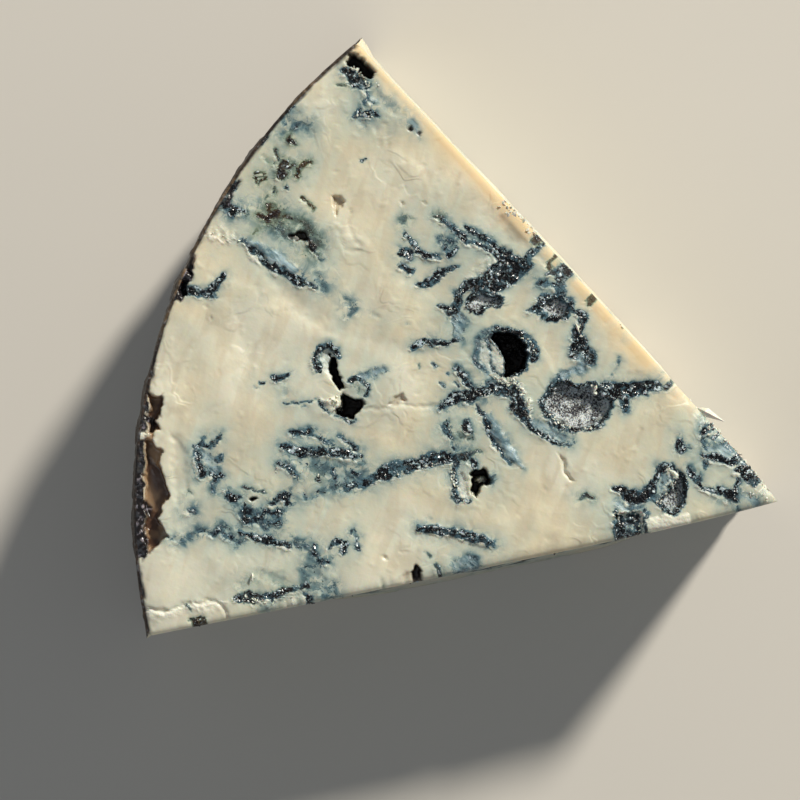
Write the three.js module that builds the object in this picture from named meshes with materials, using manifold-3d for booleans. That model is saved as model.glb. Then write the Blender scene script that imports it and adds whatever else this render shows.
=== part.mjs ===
// A wedge of blue cheese, cut from a drum 200 mm across and lying on its lower cut face.
// Two straight knife cuts meet at the point on the right (+X), and the rind closes the wide end (-X).
// Everything is one solid: the rind, the blue veins and the eyes are part of the cheese itself.
// Lengths are in millimetres and angles in degrees.
import * as THREE from "three";
import { mergeVertices } from "three/addons/utils/BufferGeometryUtils.js";
import Module from "manifold-3d";

const wasm = await Module();
wasm.setup();

// ---- Driving dimensions ----
const drumRadius = 100; // a drum of 20 cm across
const thickness = 36; // the slice that the wedge was cut from
const wedgeAngle = 59.7; // between the two knife cuts, one sixth of the drum
const drumCentre = new THREE.Vector2(-6.45, -3.5); // from the point: the knife missed the middle a little
const cutEdgeRound = 1.2; // the soft upper edge along a knife cut
const rindEdgeRound = 0.7; // the crisper upper edge along the rind
const tipReach = 1.8; // how far the blunt point stands out, as a share of cutEdgeRound
const cutFlare = { lower: 3, right: 3.4 }; // how far the foot of each cut stands out beyond its top
const flareRange = [8, 42]; // from the tip: where the cuts begin to flare, and where they have all of it
const rindBulge = 2.1; // the belly of the rind at half height
const topSwell = 0.35; // slow rise and fall of the upper face
const wallSwell = 0.3; // the same on the knife cuts
const rindWrinkle = 0.55; // folds and lumps of the rind

// ---- Where the photograph's features lie ----
// Features of the upper face are placed by the pixel of the photograph that they are seen at.
const photoTip = { x: 777, y: 501 }; // where the lines of the two cuts meet
const photoScale = drumRadius / 597; // millimetres for one pixel on the upper face
const photoTurn = 17.65; // from the photograph's axes to the wedge's

// ---- How finely the surface is divided ----
const rowsOfGrid = 44; // rows from the tip to the rind
const edgeSteps = 2; // steps round the upper edge
const wallSteps = 7; // steps from the upper edge to the foot
const eyeSegments = 12;
const eyeRings = 8;
const eyeUneven = 0.13; // share by which an eye's wall wanders
const eyeLift = 0.4; // how far an eye's middle lies above the face that it opens in

const radians = THREE.MathUtils.degToRad;
const halfAngle = radians(wedgeAngle / 2);
const smoothstep = THREE.MathUtils.smoothstep;

// ---- Eyes, chips and grooves of the upper face ----
// long and wide are the opening and deep is how far it goes down.
// turn is the angle of its long way in the photograph.
const upperFace = {
  roundEye: { photo: [509, 353], long: 9.2, wide: 8.2, deep: 8.5, turn: 70 },
  furHollow: { photo: [579, 406], long: 11.2, wide: 7.6, deep: 2.8, turn: 8 },
  twinEyeLow: { photo: [349, 406], long: 5.2, wide: 4.6, deep: 6, turn: 10 },
  twinEyeHigh: { photo: [331, 366], long: 6, wide: 2.9, deep: 4.5, turn: -70 },
  crossEye: { photo: [477, 481], long: 5.2, wide: 3.4, deep: 4, turn: 65 },
  tipEye: { photo: [673, 495], long: 7.2, wide: 4.4, deep: 5, turn: -80 },
  northHollow: { photo: [487, 303], long: 6.2, wide: 4.2, deep: 1.8, turn: 15 },
  eastHollow: { photo: [556, 309], long: 5.4, wide: 4.2, deep: 2, turn: 20 },
  edgeBlock: { photo: [629, 527], long: 6.4, wide: 5, deep: 2.6, turn: 75 },
  cornerNotch: { photo: [361, 64], long: 7.2, wide: 3.7, deep: 10, turn: -50 },
  dropletEye: { photo: [300, 238], long: 3.4, wide: 2.2, deep: 1.8, turn: -35 },
  palePit: { photo: [337, 206], long: 2.8, wide: 2, deep: 1.2, turn: 80 },
  edgePit: { photo: [415, 567], long: 2.6, wide: 2.2, deep: 2, turn: 60 },
  rightEdgeEye: { photo: [562, 258], long: 3.6, wide: 2.6, deep: 2.4, turn: -48 },
  rightEdgeCrumble: { photo: [531, 230], long: 6, wide: 3, deep: 1, turn: -48 },
  rindGapHigh: { photo: [155, 406], long: 4.4, wide: 3, deep: 4, turn: 78 },
  rindGapUpper: { photo: [151, 450], long: 7, wide: 3.4, deep: 4.6, turn: 84 },
  rindGapLower: { photo: [153, 491], long: 8.6, wide: 4, deep: 5, turn: 90 },
  rindGapFoot: { photo: [151, 535], long: 6.2, wide: 3.4, deep: 3.4, turn: 100 },
  cornerChip: { photo: [190, 640], long: 15, wide: 11, deep: 6, turn: 12 },
  edgeChip: { photo: [285, 622], long: 14, wide: 5.6, deep: 3.4, turn: 12 },
  tipBreak: { photo: [750, 450], long: 17, wide: 7.4, deep: 3.6, turn: -50 },
  piercingNorth: { photo: [281, 263], long: 15, wide: 2.6, deep: 1.1, turn: -30 },
  piercingSouth: { photo: [457, 534], long: 13.5, wide: 2.2, deep: 0.9, turn: -9 },
  piercingLong: { photo: [416, 465], long: 18, wide: 2.6, deep: 0.8, turn: 7 },
  northBand: { photo: [517, 275], long: 13, wide: 4.4, deep: 0.8, turn: 52 },
  tipBand: { photo: [640, 389], long: 9, wide: 2.8, deep: 1, turn: 8 },
};

// ---- Eyes of the knife cuts and needle holes of the rind ----
// along is measured from the tip on a cut, and from the lower corner on the rind. up is from the foot.
const wallFaces = {
  lowerEyeWide: { face: "lower", along: 71, up: 14, long: 8.4, wide: 4.6, deep: 3.4, turn: 12 },
  lowerEyeRound: { face: "lower", along: 44, up: 22, long: 4.8, wide: 4.2, deep: 4, turn: 0 },
  lowerSlit: { face: "lower", along: 90, up: 25, long: 9, wide: 2.4, deep: 1.6, turn: -24 },
  lowerTunnel: { face: "lower", along: 56, up: 8, long: 14, wide: 2.4, deep: 1.1, turn: 4 },
  rightEyeWide: { face: "right", along: 60, up: 19, long: 7.2, wide: 5, deep: 4, turn: -20 },
  rightEyeRound: { face: "right", along: 83, up: 11, long: 4.4, wide: 3.6, deep: 3.6, turn: 0 },
  rightSlit: { face: "right", along: 36, up: 12, long: 8, wide: 2.2, deep: 1.5, turn: 30 },
  rightTunnel: { face: "right", along: 78, up: 27, long: 13, wide: 2.4, deep: 1.1, turn: -5 },
  needleHoleLow: { face: "rind", along: 21, up: 15, long: 2.8, wide: 2.6, deep: 4, turn: 0 },
  needleHoleMid: { face: "rind", along: 52, up: 21, long: 2.8, wide: 2.6, deep: 4, turn: 0 },
  needleHoleHigh: { face: "rind", along: 86, up: 13, long: 2.8, wide: 2.6, deep: 4, turn: 0 },
};

// A point of the upper face, from the pixel that shows it.
function fromPhoto([x, y]) {
  const point = new THREE.Vector2(x - photoTip.x, photoTip.y - y);
  return point.multiplyScalar(photoScale).rotateAround(new THREE.Vector2(), radians(photoTurn));
}

// The way from the tip at an angle off the wedge's middle line. Positive is towards the right-hand cut (+Y).
const wayFromTip = (angle) => new THREE.Vector2(-Math.cos(angle), Math.sin(angle));

// The way that a knife cut faces.
function outwardOfCut(face) {
  return new THREE.Vector2(Math.sin(halfAngle), (face === "right" ? 1 : -1) * Math.cos(halfAngle));
}

// How far the rind is from a start point, on a way out to it.
function distanceToRind(start, way, radius) {
  const toCentre = drumCentre.clone().sub(start);
  const along = way.dot(toCentre);
  return along + Math.sqrt(along * along - toCentre.lengthSq() + radius * radius);
}

// Smooth unevenness between -1 and 1, from three crossed waves of about the given length.
function swell(x, y, z, length) {
  const u = (2 * Math.PI * x) / length;
  const v = (2 * Math.PI * y) / length;
  const w = (2 * Math.PI * z) / length;
  const waves = [u + 1.3 * v + 0.4, 1.1 * v - 0.7 * w + 2.1, 0.9 * w + 0.8 * u + 4];
  return waves.reduce((sum, wave) => sum + Math.sin(wave) / waves.length, 0);
}

// ---- The upper face: rows of points from the tip to the rind, one more in each row ----
function makeUpperFace() {
  const start = new THREE.Vector2(-cutEdgeRound / Math.sin(halfAngle), 0);
  const points = [];
  for (let row = 0; row <= rowsOfGrid; row++) {
    for (let step = 0; step <= row; step++) {
      const share = row ? step / row : 0.5;
      const way = wayFromTip(halfAngle * (2 * share - 1));
      const reach = (distanceToRind(start, way, drumRadius - rindEdgeRound) * row) / rowsOfGrid;
      const { x, y } = start.clone().addScaledVector(way, reach);
      points.push(new THREE.Vector3(x, y, thickness + topSwell * swell(x, y, 0, 34)));
    }
  }
  return points;
}

const atRow = (row, step) => (row * (row + 1)) / 2 + step;

// The triangles of the upper face, facing up.
function upperTriangles() {
  const faces = [];
  for (let row = 0; row < rowsOfGrid; row++) {
    for (let step = 0; step <= row; step++) {
      faces.push([atRow(row, step), atRow(row + 1, step + 1), atRow(row + 1, step)]);
      if (step < row) faces.push([atRow(row, step), atRow(row, step + 1), atRow(row + 1, step + 1)]);
    }
  }
  return faces;
}

// The rim of the upper face: out along the lower cut, over the rind, and back along the right-hand cut.
// out is the way that the wall faces, and spread is how far its foot stands out beyond its top.
function rimOfUpperFace(points) {
  const rim = [];
  const addCut = (id, face) => {
    const out = outwardOfCut(face);
    const fromTip = Math.hypot(points[id].x, points[id].y);
    const flare = cutFlare[face] * smoothstep(fromTip, ...flareRange);
    rim.push({ id, out, spread: out.clone().multiplyScalar(flare) });
  };
  for (let row = 0; row < rowsOfGrid; row++) addCut(atRow(row, 0), "lower");
  for (let step = 0; step <= rowsOfGrid; step++) {
    const id = atRow(rowsOfGrid, step);
    const out = new THREE.Vector2(points[id].x, points[id].y).sub(drumCentre).normalize();
    const across = (2 * step) / rowsOfGrid - 1;
    const flare = across * cutFlare[across < 0 ? "lower" : "right"];
    rim.push({ id, out, spread: new THREE.Vector2(out.y, -out.x).multiplyScalar(flare), onRind: true });
  }
  for (let row = rowsOfGrid - 1; row > 0; row--) addCut(atRow(row, row), "right");
  rim[0] = { id: 0, out: new THREE.Vector2(tipReach, 0), spread: new THREE.Vector2() };
  rim[rowsOfGrid].out.add(outwardOfCut("lower"));
  rim[2 * rowsOfGrid].out.add(outwardOfCut("right"));
  return rim;
}

// One column of a wall: round the upper edge, then down to the foot.
function wallColumn(top, { out, spread, onRind }) {
  const plan = new THREE.Vector2(top.x, top.y);
  const round = onRind ? rindEdgeRound : cutEdgeRound;
  const column = [];
  for (let step = 1; step <= edgeSteps; step++) {
    const turn = (step / edgeSteps) * (Math.PI / 2);
    const at = plan.clone().addScaledVector(out, round * Math.sin(turn));
    column.push(new THREE.Vector3(at.x, at.y, top.z - round * (1 - Math.cos(turn))));
  }
  for (let step = 1; step <= wallSteps; step++) {
    const share = step / wallSteps;
    const z = (top.z - round) * (1 - share);
    const lump = onRind
      ? rindBulge * Math.sin(Math.PI * share) + rindWrinkle * swell(top.x, top.y, 1.4 * z, 13)
      : wallSwell * swell(top.x, top.y, z, 21);
    const at = plan.clone().addScaledVector(out, round + lump * Math.min(1, 3 * share));
    at.addScaledVector(spread, share);
    column.push(new THREE.Vector3(at.x, at.y, z));
  }
  return column;
}

// The uncut body: upper face, walls and a flat foot, as a solid.
function makeBody() {
  const points = makeUpperFace();
  const faces = upperTriangles();
  const rim = rimOfUpperFace(points);
  const levels = [rim.map((rimPoint) => rimPoint.id)];
  const columns = rim.map((rimPoint) => wallColumn(points[rimPoint.id], rimPoint));
  for (let level = 0; level < edgeSteps + wallSteps; level++) {
    levels.push(columns.map((column) => points.push(column[level]) - 1));
  }
  for (let level = 1; level < levels.length; level++) {
    for (let i = 0; i < rim.length; i++) {
      const next = (i + 1) % rim.length;
      const [a, b] = [levels[level - 1][i], levels[level - 1][next]];
      const [c, d] = [levels[level][next], levels[level][i]];
      faces.push([a, b, c], [a, c, d]);
    }
  }
  const foot = levels.at(-1);
  const outline = foot.map((id) => new THREE.Vector2(points[id].x, points[id].y));
  const turnsLeft = ([a, b, c]) => b.clone().sub(a).cross(c.clone().sub(a)) > 0;
  for (const triangle of THREE.ShapeUtils.triangulateShape(outline, [])) {
    const [a, b, c] = triangle.map((i) => foot[i]);
    faces.push(turnsLeft(triangle.map((i) => outline[i])) ? [a, c, b] : [a, b, c]);
  }
  return new wasm.Manifold(
    new wasm.Mesh({
      numProp: 3,
      vertProperties: new Float32Array(points.flatMap((point) => point.toArray())),
      triVerts: new Uint32Array(faces.flat()),
    }),
  );
}

// ---- Eyes and chips: uneven egg shapes that are cut out of the body ----
// across and along are the two ways in the face, and into points into the cheese.
function makeEye({ long, wide, deep }, centre, along, into, seed) {
  const across = new THREE.Vector3().crossVectors(into, along);
  const shape = new THREE.SphereGeometry(1, eyeSegments, eyeRings);
  shape.deleteAttribute("normal");
  shape.deleteAttribute("uv");
  const places = shape.attributes.position;
  const point = new THREE.Vector3();
  for (let i = 0; i < places.count; i++) {
    point.fromBufferAttribute(places, i);
    point.multiplyScalar(1 + eyeUneven * swell(point.x + seed, point.y, point.z, 1.6));
    const place = centre.clone();
    place.addScaledVector(along, (point.x * long) / 2);
    place.addScaledVector(across, (point.z * wide) / 2);
    place.addScaledVector(into, -point.y * (deep + eyeLift) - eyeLift);
    places.setXYZ(i, place.x, place.y, place.z);
  }
  const closed = mergeVertices(shape, 1e-4);
  return new wasm.Manifold(
    new wasm.Mesh({
      numProp: 3,
      vertProperties: closed.attributes.position.array,
      triVerts: new Uint32Array(closed.index.array),
    }),
  );
}

// An eye of the upper face.
function upperEye(eye, seed) {
  const { x, y } = fromPhoto(eye.photo);
  const turn = radians(eye.turn + photoTurn);
  const along = new THREE.Vector3(Math.cos(turn), Math.sin(turn), 0);
  return makeEye(eye, new THREE.Vector3(x, y, thickness), along, new THREE.Vector3(0, 0, -1), seed);
}

// An eye of a knife cut, or a needle hole of the rind.
function wallEye(eye, seed) {
  const rise = eye.up / thickness;
  let spot;
  let outward;
  if (eye.face === "rind") {
    const corner = wayFromTip(-halfAngle);
    corner.multiplyScalar(distanceToRind(new THREE.Vector2(), corner, drumRadius)).sub(drumCentre);
    spot = corner.rotateAround(new THREE.Vector2(), -eye.along / drumRadius);
    outward = spot.clone().normalize();
    spot.add(drumCentre).addScaledVector(outward, rindBulge * Math.sin(Math.PI * rise));
  } else {
    outward = outwardOfCut(eye.face);
    spot = wayFromTip(Math.sign(outward.y) * halfAngle).multiplyScalar(eye.along);
    spot.addScaledVector(outward, cutFlare[eye.face] * (1 - rise));
  }
  const into = new THREE.Vector3(-outward.x, -outward.y, 0);
  const level = new THREE.Vector3(-outward.y, outward.x, 0);
  const along = level.multiplyScalar(Math.cos(radians(eye.turn)));
  along.z = Math.sin(radians(eye.turn));
  return makeEye(eye, new THREE.Vector3(spot.x, spot.y, eye.up), along, into, seed);
}

// ---- The wedge, with its origin at the middle of the foot's outline ----
function makeWedge() {
  const eyes = [
    ...Object.values(upperFace).map((eye, i) => upperEye(eye, i)),
    ...Object.values(wallFaces).map((eye, i) => wallEye(eye, i)),
  ];
  const cut = eyes.reduce((solid, eye) => solid.subtract(eye), makeBody());
  const largest = cut.decompose().sort((a, b) => b.volume() - a.volume())[0];
  const { numProp, vertProperties, triVerts } = largest.getMesh();
  const places = new Float32Array((vertProperties.length / numProp) * 3);
  for (let i = 0; i < places.length / 3; i++) {
    places.set(vertProperties.subarray(i * numProp, i * numProp + 3), i * 3);
  }
  const geometry = new THREE.BufferGeometry();
  geometry.setAttribute("position", new THREE.BufferAttribute(places, 3));
  geometry.setIndex(new THREE.BufferAttribute(triVerts, 1));
  geometry.computeBoundingBox();
  const middle = geometry.boundingBox.getCenter(new THREE.Vector3());
  geometry.translate(-middle.x, -middle.y, -geometry.boundingBox.min.z);
  geometry.computeVertexNormals();
  return geometry;
}

const paste = new THREE.MeshStandardMaterial({ color: 0xd9cfb0, roughness: 0.5, metalness: 0 });
const wedge = new THREE.Mesh(makeWedge(), paste);
wedge.name = "cheese_wedge";

const cheese = new THREE.Group();
cheese.add(wedge);
export default cheese;
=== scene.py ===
# A wedge of blue cheese: cream paste, blue-black veins, eyes lined with mould and painted shade, and a dark
# natural rind.
# Shapes are worked out in millimetres in the frame's own axes and put into meshes in metres.
import itertools

import bpy
import numpy as np
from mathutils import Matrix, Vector


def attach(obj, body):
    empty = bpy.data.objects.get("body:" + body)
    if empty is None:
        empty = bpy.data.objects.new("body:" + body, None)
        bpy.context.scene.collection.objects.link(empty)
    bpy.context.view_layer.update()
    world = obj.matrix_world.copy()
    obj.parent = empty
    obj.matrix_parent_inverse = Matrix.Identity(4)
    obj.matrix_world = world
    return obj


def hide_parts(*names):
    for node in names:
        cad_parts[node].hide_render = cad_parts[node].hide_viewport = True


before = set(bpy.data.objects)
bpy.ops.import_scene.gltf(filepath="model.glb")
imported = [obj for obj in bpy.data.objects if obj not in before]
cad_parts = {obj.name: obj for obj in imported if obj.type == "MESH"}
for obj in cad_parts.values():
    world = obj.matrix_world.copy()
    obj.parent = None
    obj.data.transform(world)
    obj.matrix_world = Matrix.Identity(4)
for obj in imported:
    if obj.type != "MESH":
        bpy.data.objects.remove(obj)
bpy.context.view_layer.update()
mm = 0.001

# The wedge as its solid has it. cutsMeet is where the lines of the two knife cuts cross.
wedge = {
    "cutsMeet": (54.53, 0.50),
    "angle": 59.7,
    "drumRadius": 100.7,
    "drumCentre": (-6.45, -3.5),  # from cutsMeet
    "thickness": 36.0,
    "cutRound": 0.9,
    "rindRound": 0.5,
    "tipReach": 1.8,
    "flareLower": 3.4,
    "flareRight": 3.3,
    "bow": 0.8,  # how far the cuts belly out, most of all in the half by the point
    "rindBulge": 1.3,
    "cutLong": 106.0,
    "rows": 340,  # rows of the upper face, from the point to the rind
    "drawPasses": 3,  # how often its points are drawn to where its detail is
    "drawRounds": 40,
    "edgeSteps": 3,
    "wallSteps": 44,
}

# How the photograph's pixels lie on the upper face.
photo = {
    "cutsMeet": (777.0, 501.0),
    "scale": 100.0 / 597.0,  # millimetres for a pixel
    "turn": 17.65,
    "distance": 450.0,  # from the lens to the upper face
}


# A colour that a node takes.
def rgb(red, green, blue):
    return (red, green, blue, 1.0)


# From the frame's millimetres to the photograph's pixels: shift, turn back, scale.
def toPhoto(points):
    turn = np.radians(photo["turn"])
    x, y = (points[:, :2] - wedge["cutsMeet"]).T
    right = np.cos(turn) * x + np.sin(turn) * y
    up = np.cos(turn) * y - np.sin(turn) * x
    middle = photo["cutsMeet"]
    return np.stack([middle[0] + right / photo["scale"], middle[1] - up / photo["scale"]], axis=1)


# From the photograph's pixels to the frame's millimetres.
def fromPhoto(pixels):
    turn = np.radians(photo["turn"])
    right, down = ((np.asarray(pixels, float) - photo["cutsMeet"]) * photo["scale"]).T
    x = np.cos(turn) * right + np.sin(turn) * down
    y = np.sin(turn) * right - np.cos(turn) * down
    return np.stack([x, y], axis=1) + wedge["cutsMeet"]


# A smooth step from 0 at low to 1 at high.
def fade(low, high, value):
    t = np.clip((value - low) / (high - low), 0, 1)
    return t * t * (3 - 2 * t)


noiseSource = np.random.default_rng(11)
shuffled = noiseSource.permutation(1024)
slopes = noiseSource.normal(size=(1024, 3))
slopes /= np.linalg.norm(slopes, axis=1)[:, None]


# Smooth noise, about -1 to 1: random slopes at the corners of cells of the given size, blended between them.
def noise(points, size, seed=0):
    place = points / size + 17.3 * seed
    cell = np.floor(place).astype(int)
    part = place - cell
    soft = part**3 * (part * (part * 6 - 15) + 10)
    total = np.zeros(len(points))
    for corner in itertools.product((0, 1), repeat=3):
        spot = (cell + corner) % 1024
        key = shuffled[(spot[:, 0] + shuffled[(spot[:, 1] + shuffled[spot[:, 2]]) % 1024]) % 1024]
        weight = np.prod(np.where(corner, soft, 1 - soft), axis=1)
        total += weight * np.einsum("ij,ij->i", slopes[key], part - corner)
    return 1.8 * total


# Noise with finer and fainter copies of itself on top.
def roughNoise(points, size, seed=0, octaves=3):
    layers = [noise(points, size / 2**i, seed + i) / 2**i for i in range(octaves)]
    return sum(layers)


# Distance from each point to a bent line, less the line's half width, which may change from point to point.
def lineDistance(points, path, wide):
    path = np.asarray(path, float)
    half = np.broadcast_to(np.asarray(wide, float) / 2, len(path))
    nearest = np.full(len(points), 1e9)
    for i in range(len(path) - 1):
        along = path[i + 1] - path[i]
        away = points - path[i]
        t = np.clip(away @ along / max(along @ along, 1e-9), 0, 1)
        gap = np.linalg.norm(away - t[:, None] * along, axis=1)
        nearest = np.minimum(nearest, gap - (1 - t) * half[i] - t * half[i + 1])
    return nearest


# Which of the points lie in the box round a shape, or within margin of it.
def insideBox(points, shape, margin):
    return np.flatnonzero(np.all((points > shape.min(0) - margin) & (points < shape.max(0) + margin), axis=1))


# An array raised to the given values, at some points or at all, wherever it is lower than they are.
def raiseTo(field, value, near=slice(None)):
    field[near] = np.maximum(field[near], value)


# Several noises on top of one another, each with its height in millimetres, its size and its seed.
def layered(place, layers):
    return sum(high * noise(place, size, seed) for high, size, seed in layers)


# Signed distance to a closed outline: positive inside.
def insideDistance(points, outline):
    outline = np.asarray(outline, float)
    after = np.roll(outline, -1, axis=0)
    edge = lineDistance(points, np.vstack([outline, outline[:1]]), 0)
    inside = np.zeros(len(points), bool)
    for (x1, y1), (x2, y2) in zip(outline, after):
        crosses = (y1 > points[:, 1]) != (y2 > points[:, 1])
        at = x1 + (points[:, 1] - y1) * (x2 - x1) / (y2 - y1 + 1e-12)
        inside ^= crosses & (points[:, 0] < at)
    return np.where(inside, edge, -edge)


# The corners of an oval, for an eye that needs no outline of its own.
def oval(x, y, long, wide, turn=0, corners=12):
    angle = np.linspace(0, 2 * np.pi, corners, endpoint=False)
    a, b = long / 2 * np.cos(angle), wide / 2 * np.sin(angle)
    t = np.radians(turn)
    return np.stack([x + a * np.cos(t) - b * np.sin(t), y + a * np.sin(t) + b * np.cos(t)], axis=1)


# A stroke of mould. dark is its core, stain the blurred colour round it, sink its depth in millimetres, and
# blue a smooth smear of light blue.
def vein(path, wide, dark=1.0, stain=0.7, reach=9.0, olive=0.0, sink=0.2, soft=3.0, blue=0.0):
    return {"path": path, "wide": wide, "dark": dark, "stain": stain, "reach": reach,
            "olive": olive, "sink": sink, "soft": soft, "blue": blue}


# A hollow. wall is how wide its slope is in plan, lining names what it is lined with, painted light and shade
# included, rim is how mouldy its rim is, and lean makes the side towards the light deeper.
def hollow(outline, deep, wall=4.0, lining="paste", rim=0.0, lean=0.0):
    return {"outline": outline, "deep": deep, "wall": wall, "lining": lining, "rim": rim, "lean": lean}


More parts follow.
